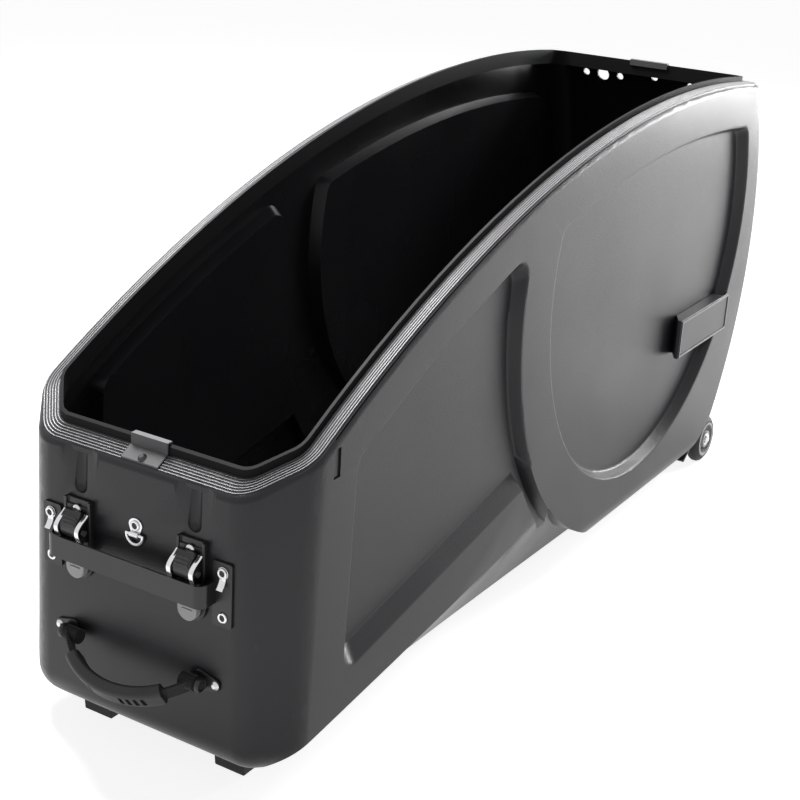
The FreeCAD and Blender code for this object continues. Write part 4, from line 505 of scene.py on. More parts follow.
def slot_floor(side, outward):
    """Floor of one slot, from the face that shows to the sheet behind it."""
    front = SLOT_MIDDLE - SLOT_HALF_WIDTH
    rear = SLOT_MIDDLE + SLOT_HALF_WIDTH
    corners = [(front, SLOT_FOOT), (rear, SLOT_FOOT), (rear, SLOT_TOP), (front, SLOT_TOP)]
    mesh = bmesh.new()
    skin(mesh, [[Vector((x, outward * (SIDE_FACE - depth), z)) for x, z in corners]
                for depth in (SLOT_DEPTH, SLOT_BACK)])
    make_piece("slot_floor_" + side, mesh, [SHELL_SHEET], "case", "shell")


for side, outward in SIDES.items():
    slot_floor(side, outward)


# Catch plates
# Stepped grey plates on the rim, one at the nose and one at the tail, where the case locks.
# They are held down by blacked steel screws.

CATCH_PLATE = plastic("catch_plate", (0.11, 0.11, 0.115), (0.2, 0.2, 0.2), 0.4, 0.5,
                      grain=1200.0, strength=0.15)
dress(CATCH_PLATE, "front_catch", "rear_catch", edge=0.8 * MM)


def metal_group():
    """Drawn and handled metal: fine streaks and dull patches."""
    tree = bpy.data.node_groups.new("worked_metal", "ShaderNodeTree")
    start, end = add_sockets(
        tree, [("Vector", "NodeSocketVector", None), ("Streak scale", "NodeSocketFloat", 300.0)],
        [("Streak", "NodeSocketFloat"), ("Dull", "NodeSocketFloat")])
    link = tree.links.new
    stretch = add_node(tree, "ShaderNodeMapping", Scale=(1, 0.06, 1))
    link(start.outputs["Vector"], stretch.inputs["Vector"])
    streak = add_node(tree, "ShaderNodeTexNoise", Detail=3.0)
    link(stretch.outputs["Vector"], streak.inputs["Vector"])
    link(start.outputs["Streak scale"], streak.inputs["Scale"])
    dull = add_node(tree, "ShaderNodeTexNoise", Scale=60.0, Detail=4.0)
    link(start.outputs["Vector"], dull.inputs["Vector"])
    link(streak.outputs["Fac"], end.inputs["Streak"])
    link(dull.outputs["Fac"], end.inputs["Dull"])
    return tree


WORKED_METAL = metal_group()


def bare_metal(name, colour, dulled, rough, dulled_rough):
    """Metal whose colour and gloss change with handling."""
    material = bpy.data.materials.new(name)
    material.use_nodes = True
    tree = material.node_tree
    link = tree.links.new
    shader = tree.nodes["Principled BSDF"]
    shader.inputs["Metallic"].default_value = 1.0
    place = tree.nodes.new("ShaderNodeTexCoord")
    surface = tree.nodes.new("ShaderNodeGroup")
    surface.node_tree = WORKED_METAL
    link(place.outputs["Object"], surface.inputs["Vector"])
    blend_colour(tree, colour, dulled, surface.outputs["Dull"])
    gloss = add_node(tree, "ShaderNodeMapRange", From_Min=0.3, From_Max=0.7,
                     To_Min=rough, To_Max=dulled_rough)
    link(surface.outputs["Dull"], gloss.inputs["Value"])
    link(gloss.outputs["Result"], shader.inputs["Roughness"])
    bump = add_node(tree, "ShaderNodeBump", Strength=0.08, Distance=0.0002)
    link(surface.outputs["Streak"], bump.inputs["Height"])
    link(bump.outputs["Normal"], shader.inputs["Normal"])
    return material


# Black steel: the real finish of the catch screws, and painted shade on the buckle frames and in the
# eyelets' centres.
BLACKED_STEEL_AND_SHADE = bare_metal("blacked_steel_and_painted_shade", (0.03, 0.03, 0.032), (0.08, 0.08, 0.085), 0.35, 0.5)
dress(BLACKED_STEEL_AND_SHADE, "catch_screws")


# Side plates
# Blank moulded plates, one on each side, that bridge the pressed wheel's edge.
# Each is fixed flat to the shell, and a narrow raised border runs round its bare face.

SIDE_PLATE = plastic("side_plate", (0.05, 0.048, 0.053), (0.09, 0.09, 0.095), 0.42, 0.5,
                     grain=1200.0, strength=0.2)
PLATE_BORDER = plastic("plate_border", (0.16, 0.157, 0.163), (0.24, 0.24, 0.24), 0.32, 0.42,
                       grain=1300.0, strength=0.15)
PLATE_FRONT = 7.0 * MM
PLATE_SETBACK = 26.0 * MM
PLATE_MARGIN = 1.0 * MM
BORDER_INSET = 2.0 * MM
BORDER_WIDTH = 3.2 * MM
BORDER_RISE = 1.4 * MM


def bridging_plate(side, outward):
    """Plate whose backing starts behind its thin front end, to span the pressed wheel's edge."""
    low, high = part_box("badge_" + side)
    face = (high if outward > 0 else low)[1]
    mesh = bmesh.new()
    mesh.from_mesh(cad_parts["badge_" + side].data)
    bmesh.ops.remove_doubles(mesh, verts=mesh.verts, dist=MERGE_DISTANCE)
    bmesh.ops.bisect_plane(mesh, geom=mesh.verts[:] + mesh.edges[:] + mesh.faces[:],
                           plane_co=(0, face - outward * PLATE_FRONT, 0), plane_no=(0, 1, 0))
    for point in mesh.verts:
        depth = (face - point.co.y) * outward
        if point.co.x < low[0] + PLATE_MARGIN and depth > PLATE_FRONT + PLATE_MARGIN:
            point.co.x += PLATE_SETBACK
    bmesh.ops.dissolve_limit(mesh, angle_limit=math.radians(1), verts=mesh.verts, edges=mesh.edges)
    make_piece("side_plate_" + side, mesh, [SIDE_PLATE], "case", "badge", "badge_" + side, edge=1.2 * MM)


for side, outward in SIDES.items():
    bridging_plate(side, outward)


def plate_border(side, outward):
    """Raised frame on the outer face of one plate."""
    low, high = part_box("badge_" + side)
    face = (high if outward > 0 else low)[1]
    inner = BORDER_INSET + BORDER_WIDTH

    def outline(grow, lift):
        y = face + outward * lift
        return [Vector((low[0] + grow, y, low[2] + grow)), Vector((high[0] - grow, y, low[2] + grow)),
                Vector((high[0] - grow, y, high[2] - grow)), Vector((low[0] + grow, y, high[2] - grow))]

    mesh = bmesh.new()
    skin(mesh, [outline(BORDER_INSET, 0), outline(BORDER_INSET, BORDER_RISE),
                outline(inner, BORDER_RISE), outline(inner, 0)], closed=True)
    make_piece("badge_border_" + side, mesh, [PLATE_BORDER], "case", "badge", edge=0.4 * MM)


for side, outward in SIDES.items():
    plate_border(side, outward)


# Strap buckles
# Moulded black base, bright bent steel arms, a black release lever on a pin with its leaf spring, and a
# light grey tongue that leads the strap's tail out. Two rivets hold each one to the nose.

MOULDED_BLACK = plastic("moulded_black", (0.02, 0.02, 0.021), (0.05, 0.05, 0.05), 0.35, 0.48,
                        grain=1400.0, strength=0.2)
BRIGHT_STEEL = bare_metal("bright_steel", (0.78, 0.78, 0.79), (0.6, 0.6, 0.61), 0.18, 0.32)
ZINC_STEEL = bare_metal("zinc_steel", (0.7, 0.7, 0.71), (0.52, 0.52, 0.53), 0.25, 0.42)
GREY_TONGUE = plastic("grey_tongue", (0.52, 0.52, 0.53), (0.42, 0.42, 0.42), 0.32, 0.45,
                      grain=1500.0, strength=0.12)
for side in SIDES:
    dress(MOULDED_BLACK, "buckle_base_" + side, edge=0.6 * MM)
    # The steel frame is coloured black as painted shade, since its sides stand in deep shadow beside the
    # bright arms.
    dress(BLACKED_STEEL_AND_SHADE, "buckle_frame_" + side, edge=0.4 * MM)
    dress(ZINC_STEEL, "buckle_pins_" + side, "lever_spring_" + side)
    dress(GREY_TONGUE, "strap_guide_" + side, edge=0.8 * MM)
dress(ZINC_STEEL, "buckle_rivets")


def middle_height(node):
    """Height of the middle of a solid."""
    low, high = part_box(node)
    return (low[2] + high[2]) / 2


def nose_point(standoff, y, z):
    """Place in front of the nose wall, sizes in millimetres, height in metres."""
    return Vector((NOSE - standoff * MM, y * MM, z))


def flowing(points, steps=5):
    """Points along a smooth line through the given ones."""
    line = [Vector(point) for point in points]
    ends = [line[0] * 2 - line[1]] + line + [line[-1] * 2 - line[-2]]
    smooth = []
    for before, first, second, after in zip(ends, ends[1:], ends[2:], ends[3:]):
        for step in range(steps):
            t = step / steps
            smooth.append((first * 2 + (second - before) * t
                           + (before * 2 - first * 5 + second * 4 - after) * t ** 2
                           + (first * 3 - before - second * 3 + after) * t ** 3) / 2)
    smooth.append(line[-1])
    return smooth


def bent_strip(mesh, points, y, half_width, thickness):
    """Flat strip bent along a line of standoffs and rises from the guard's middle."""
    line = flowing(points)
    rings = []
    for place, point in enumerate(line):
        along = line[min(place + 1, len(line) - 1)] - line[max(place - 1, 0)]
        across = Vector((along.y, -along.x)).normalized() * (thickness / 2)
        rings.append([nose_point(spot.x, y + width, GUARD_Z + spot.y * MM)
                      for spot, width in ((point + across, -half_width), (point + across, half_width),
                                          (point - across, half_width), (point - across, -half_width))])
    skin(mesh, rings)


def across_nose(mesh, outline, y, half_width):
    """Solid of one outline of standoffs and rises, as wide as told."""
    skin(mesh, [[nose_point(out, y + width, GUARD_Z + rise * MM) for out, rise in outline]
                for width in (-half_width, half_width)])


BUCKLE_Y = 84.0
GUARD_Z = middle_height("guard_bar")
ARM_LINE = [(7.6, 42), (12, 38.5), (19, 34), (24, 29), (25.4, 24.5), (24, 19), (21.4, 12), (20, 5),
            (18.8, -2), (15, -7), (8, -8.5)]
LEVER_OUTLINE = [(13, 15.8), (18.5, 14.5), (21.5, 17.5), (23, 22.5), (23.2, 28), (21.8, 33.5), (18.8, 38),
                 (15, 41.5), (13.4, 45.2), (9.9, 45.2), (9.9, 27), (8.2, 22.6), (8.3, 18.4), (10.4, 15.9)]
LEVER_RIDGES = [(22.4, 31.4), (20.6, 35.2), (18.0, 38.6)]
MOUTH_LINE = [(21.0, 12.4), (20.4, 8), (19.4, 2), (18, -4), (16.5, -8)]
ARM_SPREAD = 15.8
ARM_HALF_WIDTH = 3.0
ARM_THICKNESS = 1.7
MOUTH_HALF_WIDTH = 12.6
MOUTH_THICKNESS = 2.0
LEVER_HALF_WIDTH = 11.8
RIDGE_HALF_WIDTH = 9.5
RIDGE_RADIUS = 1.1
for side, outward in SIDES.items():
    middle = outward * BUCKLE_Y
    mesh = bmesh.new()
    for arm in (-ARM_SPREAD, ARM_SPREAD):
        bent_strip(mesh, ARM_LINE, middle + arm, ARM_HALF_WIDTH, ARM_THICKNESS)
    make_piece("buckle_arms_" + side, mesh, [BRIGHT_STEEL], "case", "bright_steel", edge=0.4 * MM)
    mesh = bmesh.new()
    bent_strip(mesh, MOUTH_LINE, middle, MOUTH_HALF_WIDTH, MOUTH_THICKNESS)
    make_piece("strap_mouth_" + side, mesh, [MOULDED_BLACK], "case", "black_plastic", edge=0.5 * MM)
    mesh = bmesh.new()
    across_nose(mesh, LEVER_OUTLINE, middle, LEVER_HALF_WIDTH)
    for out, rise in LEVER_RIDGES:
        turns = [math.radians(turn) for turn in range(0, 360, 45)]
        ridge = [(out + RIDGE_RADIUS * math.cos(turn), rise + RIDGE_RADIUS * math.sin(turn))
                 for turn in turns]
        across_nose(mesh, ridge, middle, RIDGE_HALF_WIDTH)
    make_piece("lever_pad_" + side, mesh, [MOULDED_BLACK], "lever_" + side, "black_plastic",
               "buckle_lever_" + side, edge=0.7 * MM)


# Guard bar
# Bent black strip that keeps the buckles from being knocked open, held to the nose at both ends by bright
# eyelets; a short bright link hangs from each upper one.

GUARD_STRIP = plastic("guard_strip", (0.016, 0.016, 0.017), (0.04, 0.04, 0.04), 0.32, 0.45,
                      grain=1500.0, strength=0.15)
dress(GUARD_STRIP, "guard_bar", edge=0.6 * MM)
GUARD_RIVET_Y = 128.0
GUARD_RIVET_RISE = 28.0
LOWER_SEAT = 3.0
UPPER_SEAT = 4.5
WALL = 4.0
EYELET_RING = [(3.7, 0.1), (3.7, 1.5), (4.3, 2.2), (5.4, 2.3), (6.4, 1.5), (6.6, 0.1)]


def hoop(y, z, radius, standoff, count=28):
    """Ring of points round an axis that stands out of the nose."""
    return [nose_point(standoff, y + radius * math.cos(2 * math.pi * step / count),
                       z + radius * MM * math.sin(2 * math.pi * step / count)) for step in range(count)]


def eyelet(mesh, y, z, seat):
    """Rolled bright ring round a rivet that goes through the wall; the rivet's dark steel is painted shade
    in the eyelet's centre.
    """
    skin(mesh, [hoop(y, z, radius, seat + out) for radius, out in EYELET_RING], closed=True)
    core = [(4.5, -WALL - 2), (4.5, -WALL), (2.4, -WALL), (2.4, seat), (3.75, seat), (3.75, seat + 0.5),
            (1.7, seat + 0.6), (1.4, seat + 0.2)]
    # The core goes in slot 1, the dark steel: painted shade in the eyelet's hollow.
    skin(mesh, [hoop(y, z, radius, out) for radius, out in core], slot=1)


mesh = bmesh.new()
for outward in SIDES.values():
    for rise, seat in ((-GUARD_RIVET_RISE, LOWER_SEAT), (GUARD_RIVET_RISE, UPPER_SEAT)):
        eyelet(mesh, outward * GUARD_RIVET_Y, GUARD_Z + rise * MM, seat)
make_piece("guard_eyelets", mesh, [BRIGHT_STEEL, BLACKED_STEEL_AND_SHADE], "case", "bright_steel", "guard_rivets")
LINK_LINE = [(3.85, 22.5), (4.2, 18.5), (6.6, 13.5), (10.5, 8.5)]
LINK_EYE = [(3.0, 3.1), (3.0, 4.4), (7.2, 4.4), (7.4, 3.9), (7.2, 3.1)]
LINK_HALF_WIDTH = 4.2
LINK_THICKNESS = 1.5
LINK_Z = GUARD_Z + GUARD_RIVET_RISE * MM
for side, outward in SIDES.items():
    middle = outward * GUARD_RIVET_Y
    mesh = bmesh.new()
    skin(mesh, [hoop(middle, LINK_Z, radius, out) for radius, out in LINK_EYE], closed=True)
    bent_strip(mesh, LINK_LINE, middle, LINK_HALF_WIDTH, LINK_THICKNESS)
    make_piece("guard_link_" + side, mesh, [BRIGHT_STEEL], "case", "bright_steel",
               "guard_tab_" + side, edge=0.3 * MM)


# Tie ring
# Bright wire ring whose bar turns in a rolled steel clip.
# An eyelet rivets the clip's tongue to the nose, between the buckles.

dress(BRIGHT_STEEL, "tie_ring")
RING_WIRE_RADIUS = 1.8
RING_BAR_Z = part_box("tie_ring")[1][2] - RING_WIRE_RADIUS * MM
BAR_STANDOFF = 3.25
CLIP_Z = middle_height("clip_rivet")
CLIP_THICKNESS = 1.6
TONGUE_FOOT = 6.0
TONGUE_HALF_WIDTH = 10.0
TONGUE_RISE = 9.0
ROLL_SECTION = [(1.9, -6.2), (3.2, -6.2), (3.2, 6.2), (1.9, 6.2)]


def bar_ring(radius, y, count=20):
    """Ring of points round the tie ring's bar."""
    turns = [2 * math.pi * step / count for step in range(count)]
    return [nose_point(BAR_STANDOFF + radius * math.cos(turn), y, RING_BAR_Z + radius * MM * math.sin(turn))
            for turn in turns]


def ring_holder():
    """Clip with a round tongue, rolled round the bar, and its eyelet."""
    tongue = [(-TONGUE_FOOT, RING_BAR_Z)]
    for degrees in range(180, -1, -20):
        turn = math.radians(degrees)
        tongue.append((TONGUE_HALF_WIDTH * math.cos(turn), CLIP_Z + TONGUE_RISE * MM * math.sin(turn)))
    tongue.append((TONGUE_FOOT, RING_BAR_Z))
    mesh = bmesh.new()
    skin(mesh, [[nose_point(out, y, z) for y, z in tongue] for out in (0.0, CLIP_THICKNESS)])
    skin(mesh, [bar_ring(radius, y) for radius, y in ROLL_SECTION], closed=True)
    eyelet(mesh, 0.0, CLIP_Z, CLIP_THICKNESS)
    make_piece("ring_holder", mesh, [BRIGHT_STEEL, BLACKED_STEEL_AND_SHADE], "case", "bright_steel",
               "ring_clip", "clip_rivet", edge=0.3 * MM)


ring_holder()


# Carry handle
# Woven band in a soft moulded grip, with its ends sewn in loops round two pegs.
# The pegs turn in rounded black brackets that are screwed to the nose.

SOFT_GRIP = plastic("soft_grip", (0.022, 0.022, 0.023), (0.05, 0.05, 0.05), 0.45, 0.58,
                    grain=1100.0, strength=0.3)
dress(SOFT_GRIP, "handle_grip", edge=1.2 * MM)


def woven_cloth(name, colour, lit, pitch):
    """Dense plain weave on the band's own run and width."""
    material = bpy.data.materials.new(name)
    material.use_nodes = True
    tree = material.node_tree
    link = tree.links.new
    shader = tree.nodes["Principled BSDF"]
    shader.inputs["Sheen Weight"].default_value = 0.25
    shader.inputs["Specular IOR Level"].default_value = 0.25
    place = tree.nodes.new("ShaderNodeUVMap")
    place.uv_map = "band"
    yarns = []
    for direction in ("X", "Y"):
        wave = add_node(tree, "ShaderNodeTexWave", Scale=pitch, Distortion=0.4, Detail=1.0)
        wave.bands_direction = direction
        link(place.outputs["UV"], wave.inputs["Vector"])
        yarns.append(wave)
    cross = tree.nodes.new("ShaderNodeMath")
    cross.operation = "MULTIPLY"
    for wave, socket in zip(yarns, cross.inputs):
        link(wave.outputs["Fac"], socket)
    blend_colour(tree, colour, lit, cross.outputs["Value"])
    rough = add_node(tree, "ShaderNodeMapRange", To_Min=0.85, To_Max=0.65)
    link(cross.outputs["Value"], rough.inputs["Value"])
    link(rough.outputs["Result"], shader.inputs["Roughness"])
    bump = add_node(tree, "ShaderNodeBump", Strength=0.6, Distance=0.0004)
    link(cross.outputs["Value"], bump.inputs["Height"])
    link(bump.outputs["Normal"], shader.inputs["Normal"])
    return material


WOVEN_BAND = woven_cloth("woven_band", (0.006, 0.006, 0.007), (0.03, 0.03, 0.032), 180.0)
HANDLE_Z = middle_height("handle_screws")
HANDLE_OUT = 12.0
HALF_SPAN = 94.0
BOW = 46.0
DROOP = math.radians(35)
BOW_RADIUS = (HALF_SPAN ** 2 + BOW ** 2) / (2 * BOW)
BAND_WIDTH = 20.0
BAND_THICKNESS = 3.2
BAND_STATIONS = 48
BAND_SECTION = [(-1, -0.55), (-0.97, -1), (0.97, -1), (1, -0.55),
                (1, 0.55), (0.97, 1), (-0.97, 1), (-1, 0.55)]
LOOP_SECTION = [(8.4, 77.0), (9.6, 78.2), (9.6, 98.6), (8.4, 99.8), (5.2, 99.8), (5.2, 106.5)]
PEG_TURNS = [math.radians(degrees) for degrees in range(0, 360, 15)]


def handle_place(along, reach, lift):
    """Place on the bowed handle, by angle, distance from the bow's centre and height over its plane."""
    far = BOW - BOW_RADIUS + reach * math.cos(along)
    out = HANDLE_OUT + far * math.cos(DROOP) - lift * math.sin(DROOP)
    rise = -far * math.sin(DROOP) - lift * math.cos(DROOP)
    return nose_point(out, reach * math.sin(along), HANDLE_Z + rise * MM)


def peg_ring(radius, y, reach_back=None):
    """Ring of points round a peg's axis; its rear half can reach farther back, to the wall."""
    ring = []
    for turn in PEG_TURNS:
        rear = reach_back is not None and math.cos(turn) < 0
        out = HANDLE_OUT + (reach_back if rear else radius) * math.cos(turn)
        ring.append(nose_point(out, y, HANDLE_Z + radius * MM * math.sin(turn)))
    return ring


def handle_band():
    """Flat band from peg to peg, with a sewn loop round each peg."""
    mesh = bmesh.new()
    half_angle = math.asin(HALF_SPAN / BOW_RADIUS)
    rings = []
    for step in range(BAND_STATIONS + 1):
        along = half_angle * (2 * step / BAND_STATIONS - 1)
        rings.append([handle_place(along, BOW_RADIUS + BAND_THICKNESS / 2 * thick, BAND_WIDTH / 2 * wide)
                      for wide, thick in BAND_SECTION])
    skin(mesh, rings)
    for outward in SIDES.values():
        skin(mesh, [peg_ring(radius, outward * y) for radius, y in LOOP_SECTION])
    run = mesh.loops.layers.uv.new("band")
    for face in mesh.faces:
        for corner in face.loops:
            corner[run].uv = (corner.vert.co.y, corner.vert.co.z)
    make_piece("handle_band", mesh, [WOVEN_BAND], "handle", "webbing", "handle_strap")


handle_band()
BRACKET_INNER = 100.4
BRACKET_OUTER = 107.0
BRACKET_EYE = 8.6
BRACKET_PLATE = 3.2
BRACKET_CORNERS = [(91, -15, 6), (91, 15, 6), (124, 6.5, 6), (124, -6.5, 6)]
BRACKET_BORE = 6.05
BRACKET_ROUND = 1.2
BRACKET_BACK = HANDLE_OUT - 0.5


def rounded(corners, steps=6):
    """Outline with its corners turned into arcs; each corner is a place and a radius."""
    line = []
    for place, (x, y, radius) in enumerate(corners):
        corner = Vector((x, y))
        before = Vector(corners[place - 1][:2]) - corner
        after = Vector(corners[(place + 1) % len(corners)][:2]) - corner
        reach = radius / math.tan(before.angle(after) / 2)
        low = corner + before.normalized() * reach
        high = corner + after.normalized() * reach
        for step in range(steps + 1):
            share = step / steps
            line.append(low.lerp(corner, share).lerp(corner.lerp(high, share), share))
    return line


def handle_mount(side, outward):
    """Wall plate with a round eye for the peg."""
    plate = rounded(BRACKET_CORNERS)
    mesh = bmesh.new()
    skin(mesh, [[nose_point(out, outward * spot.x, HANDLE_Z + spot.y * MM) for spot in plate]
                for out in (0.0, BRACKET_PLATE)])
    neck = BRACKET_EYE - BRACKET_ROUND
    outside = [(neck, BRACKET_INNER), (BRACKET_EYE, BRACKET_INNER + BRACKET_ROUND),
               (BRACKET_EYE, BRACKET_OUTER - BRACKET_ROUND), (neck, BRACKET_OUTER)]
    rings = [peg_ring(radius, outward * y, BRACKET_BACK) for radius, y in outside]
    bores = [peg_ring(BRACKET_BORE, outward * y) for y in (BRACKET_INNER, BRACKET_OUTER)]
    skin(mesh, [bores[0], *rings, bores[1]], closed=True)
    make_piece("handle_mount_" + side, mesh, [MOULDED_BLACK], "case", "black_plastic",
               "handle_bracket_" + side, edge=0.8 * MM)


for side, outward in SIDES.items():
    handle_mount(side, outward)
dress(ZINC_STEEL, "handle_screws")


# Feet
# Two black rubber feet screwed up into the floor under the nose.
# Each has a tapered toe that reaches forward, so that it shows past the shell's lower edge.

FOOT_RUBBER = plastic("foot_rubber", (0.015, 0.015, 0.015), (0.05, 0.05, 0.048), 0.6, 0.75,
                      grain=800.0, strength=0.3)
dress(FOOT_RUBBER, "foot_left", "foot_right")
dress(ZINC_STEEL, "foot_screws")
TOE_REACH = 21.0 * MM
TOE_TAPER = 3.0 * MM
TOE_BEVEL = 2.0 * MM
TOE_OVERLAP = 6.0 * MM
TOE_LIFT = 0.6 * MM
TOE_DROP = 0.2 * MM


def foot_toe(side):
    """Front end of one foot."""
    low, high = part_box("foot_" + side)
    bottom = low[2] + TOE_LIFT
    top = high[2] - TOE_DROP
    outline = [(TOE_REACH - TOE_TAPER, bottom), (TOE_REACH, high[2] - TOE_BEVEL),
               (TOE_REACH - TOE_BEVEL, top), (-TOE_OVERLAP, top), (-TOE_OVERLAP, bottom)]
    mesh = bmesh.new()
    skin(mesh, [[Vector((low[0] - reach, y, z)) for reach, z in outline]
                for y in (low[1] + TOE_TAPER, high[1] - TOE_TAPER)])
    make_piece("foot_toe_" + side, mesh, [FOOT_RUBBER], "case", "soft_black", edge=1.5 * MM)


for side in SIDES:
    foot_toe(side)


# Wheels
# Black tyres on light grey spoked hubs, each turning on a stub axle.
# The axles sit in coated brackets that are bolted into the shell's notches at the tail.

TYRE_RUBBER = plastic("tyre_rubber", (0.014, 0.014, 0.014), (0.045, 0.043, 0.04), 0.55, 0.7,
                      grain=900.0, strength=0.3)
HUB_GREY = plastic("hub_grey", (0.5, 0.5, 0.5), (0.38, 0.38, 0.37), 0.4, 0.5, grain=1300.0, strength=0.15)
BRACKET_COAT = plastic("bracket_coat", (0.02, 0.02, 0.021), (0.06, 0.06, 0.06), 0.4, 0.5,
                       grain=1600.0, strength=0.2)
for side in SIDES:
    dress(TYRE_RUBBER, "wheel_tyre_" + side)
    dress(HUB_GREY, "wheel_hub_" + side)
    dress(BRIGHT_STEEL, "wheel_axle_" + side, "wheel_bearings_" + side)
    dress(BRACKET_COAT, "wheel_bracket_" + side)
dress(ZINC_STEEL, "bracket_bolts")


# Inner stand
# Slotted alloy rail bolted to the floor, with a coated fork clamp and a coated cradle that slide on it.
# Bolts in the rail's slot hold both in place, and the clamp's skewer has a black lever.

SATIN_ALLOY = bare_metal("satin_alloy", (0.62, 0.62, 0.63), (0.5, 0.5, 0.51), 0.35, 0.5)
dress(SATIN_ALLOY, "stand_rail")
dress(BRACKET_COAT, "fork_mount", "frame_cradle")
dress(BRIGHT_STEEL, "fork_skewer", "skewer_nut")
dress(MOULDED_BLACK, "skewer_lever")
dress(ZINC_STEEL, "rail_bolts", "fork_bolt", "cradle_bolt")


# Cradle pad
# Layer of soft black foam in a thin cover, glued into the cradle.
# Its cover is drawn tight, so its faces swell a little between the edges.

FOAM_COVER = plastic("foam_cover", (0.02, 0.02, 0.021), (0.045, 0.045, 0.046), 0.72, 0.85,
                     grain=500.0, strength=0.4)
PAD_SHRINK = 0.8 * MM
PAD_VOXEL = 2.0 * MM
PAD_SWELL = 0.7 * MM
PAD_PRESSURE = 4.0
PAD_FRAMES = 20


def swell(piece):
    """Blows the cover up a little with cloth under pressure, and keeps every point near where it was."""
    start = [point.co.copy() for point in piece.data.vertices]
    cover = piece.modifiers.new("cover", "CLOTH")
    cover.settings.use_pressure = True
    cover.settings.uniform_pressure_force = PAD_PRESSURE
    cover.settings.effector_weights.gravity = 0.0
    for step in range(1, PAD_FRAMES + 1):
        scene.frame_set(step)
    blown = piece.evaluated_get(bpy.context.evaluated_depsgraph_get()).data
    ends = [point.co.copy() for point in blown.vertices]
    piece.modifiers.remove(cover)
    scene.frame_set(1)
    for point, before, after in zip(piece.data.vertices, start, ends):
        move = after - before
        if move.length > PAD_SWELL:
            move = move.normalized() * PAD_SWELL
        point.co = before + move


def foam_pad():
    """Soft copy of the pad's plain solid."""
    mesh = bmesh.new()
    mesh.from_mesh(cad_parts["cradle_pad"].data)
    bmesh.ops.remove_doubles(mesh, verts=mesh.verts, dist=MERGE_DISTANCE)
    mesh.normal_update()
    for point, outward in [(point, point.normal.copy()) for point in mesh.verts]:
        point.co -= outward * PAD_SHRINK
    data = bpy.data.meshes.new("foam_pad")
    mesh.to_mesh(data)
    mesh.free()
    piece = bpy.data.objects.new("foam_pad", data)
    scene.collection.objects.link(piece)
    voxels = piece.modifiers.new("voxels", "REMESH")
    voxels.mode = "VOXEL"
    voxels.voxel_size = PAD_VOXEL
    voxels.use_smooth_shade = True
    closed = piece.evaluated_get(bpy.context.evaluated_depsgraph_get())
    remeshed = bpy.data.meshes.new_from_object(closed)
    piece.modifiers.remove(voxels)
    piece.data = remeshed
    swell(piece)
    piece.data.materials.clear()
    piece.data.materials.append(FOAM_COVER)
    finer = piece.modifiers.new("finer", "SUBSURF")
    finer.levels = 1
    finer.render_levels = 1
    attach(piece, "cradle_carriage")
    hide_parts("cradle_pad")


foam_pad()


# Studio
# Pale floor that runs off into a white background, with broad soft lamps behind and above.
# The camera stands at the picture's angle.

def seen_share(tree, unseen, seen):
    """One strength for what the camera, mirrors and glass see, another for what lights the object."""
    ray = tree.nodes.new("ShaderNodeLightPath")
    either = tree.nodes.new("ShaderNodeMath")
    either.operation = "MAXIMUM"
    link = tree.links.new
    link(ray.outputs["Is Camera Ray"], either.inputs[0])
    link(ray.outputs["Is Glossy Ray"], either.inputs[1])
    any_ray = tree.nodes.new("ShaderNodeMath")
    any_ray.operation = "MAXIMUM"
    link(either.outputs["Value"], any_ray.inputs[0])
    link(ray.outputs["Is Transmission Ray"], any_ray.inputs[1])
    share = add_node(tree, "ShaderNodeMapRange", To_Min=unseen, To_Max=seen)
    link(any_ray.outputs["Value"], share.inputs["Value"])
    return share.outputs["Result"]


FLOOR_HALF = 12.0


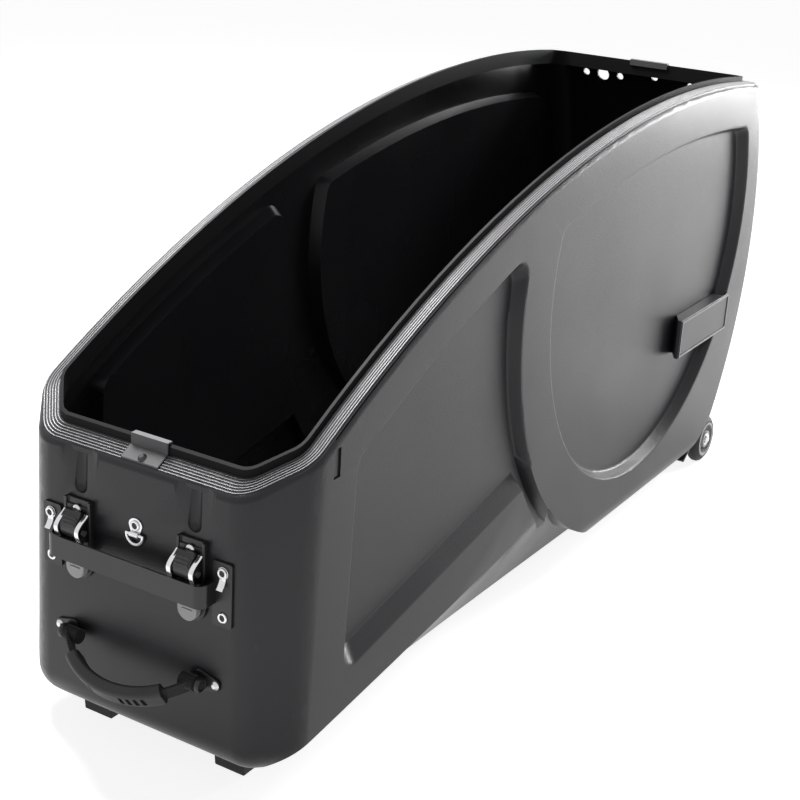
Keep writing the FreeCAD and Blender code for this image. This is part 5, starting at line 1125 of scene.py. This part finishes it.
def studio_floor():
    """Plain floor: white to the camera, pale to the lamps so that the shadow stays."""
    material = bpy.data.materials.new("studio_floor")
    material.use_nodes = True
    shader = material.node_tree.nodes["Principled BSDF"]
    shader.inputs["Base Color"].default_value = (0.55, 0.55, 0.55, 1)
    shader.inputs["Roughness"].default_value = 0.9
    shader.inputs["Specular IOR Level"].default_value = 0.1
    shader.inputs["Emission Color"].default_value = (1, 1, 1, 1)
    glow = seen_share(material.node_tree, unseen=0.08, seen=0.86)
    material.node_tree.links.new(glow, shader.inputs["Emission Strength"])
    corners = [(x * FLOOR_HALF, y * FLOOR_HALF, 0) for x, y in ((-1, -1), (1, -1), (1, 1), (-1, 1))]
    mesh = bpy.data.meshes.new("studio_floor")
    mesh.from_pydata(corners, [], [(0, 1, 2, 3)])
    mesh.materials.append(material)
    floor = bpy.data.objects.new("studio_floor", mesh)
    scene.collection.objects.link(floor)


def soft_lamp(name, place, aim, size, power):
    """Broad square lamp that points at a place."""
    lamp = bpy.data.lights.new(name, "AREA")
    lamp.size = size
    lamp.energy = power
    holder = bpy.data.objects.new(name, lamp)
    holder.location = place
    holder.rotation_euler = (Vector(aim) - Vector(place)).to_track_quat("-Z", "Y").to_euler()
    holder.visible_camera = False
    scene.collection.objects.link(holder)


studio_floor()
soft_lamp("rear_right_lamp", (3.0, -1.05, 0.62), (0.4, -0.2, 0.5), size=0.7, power=44)
soft_lamp("rear_high_lamp", (3.1, -1.1, 2.2), (0.0, -0.2, 0.5), size=0.9, power=60)
soft_lamp("top_lamp", (0.3, 1.05, 2.6), (-0.3, -0.1, 0.5), size=1.2, power=150)

world = bpy.data.worlds.new("studio_air")
scene.world = world
world.use_nodes = True
air = world.node_tree
background = air.nodes["Background"]
background.inputs["Color"].default_value = (1, 1, 1, 1)
air.links.new(seen_share(air, unseen=0.15, seen=1.0), background.inputs["Strength"])

camera = bpy.data.cameras.new("picture_camera")
camera.lens = 71.3
camera.sensor_width = 36
camera.shift_x = -0.0014
camera.shift_y = -0.013
camera_place = Vector((-1.93976, -1.0851, 1.10743))
camera_right = Vector((0.528483, -0.8472, 0.054381))
camera_back = Vector((-0.80428, -0.47909, 0.351576))
camera_up = camera_back.cross(camera_right).normalized()
camera_holder = bpy.data.objects.new("picture_camera", camera)
camera_turn = Matrix((camera_right, camera_up, camera_back)).transposed().to_4x4()
camera_holder.matrix_world = Matrix.Translation(camera_place) @ camera_turn
scene.collection.objects.link(camera_holder)
scene.camera = camera_holder
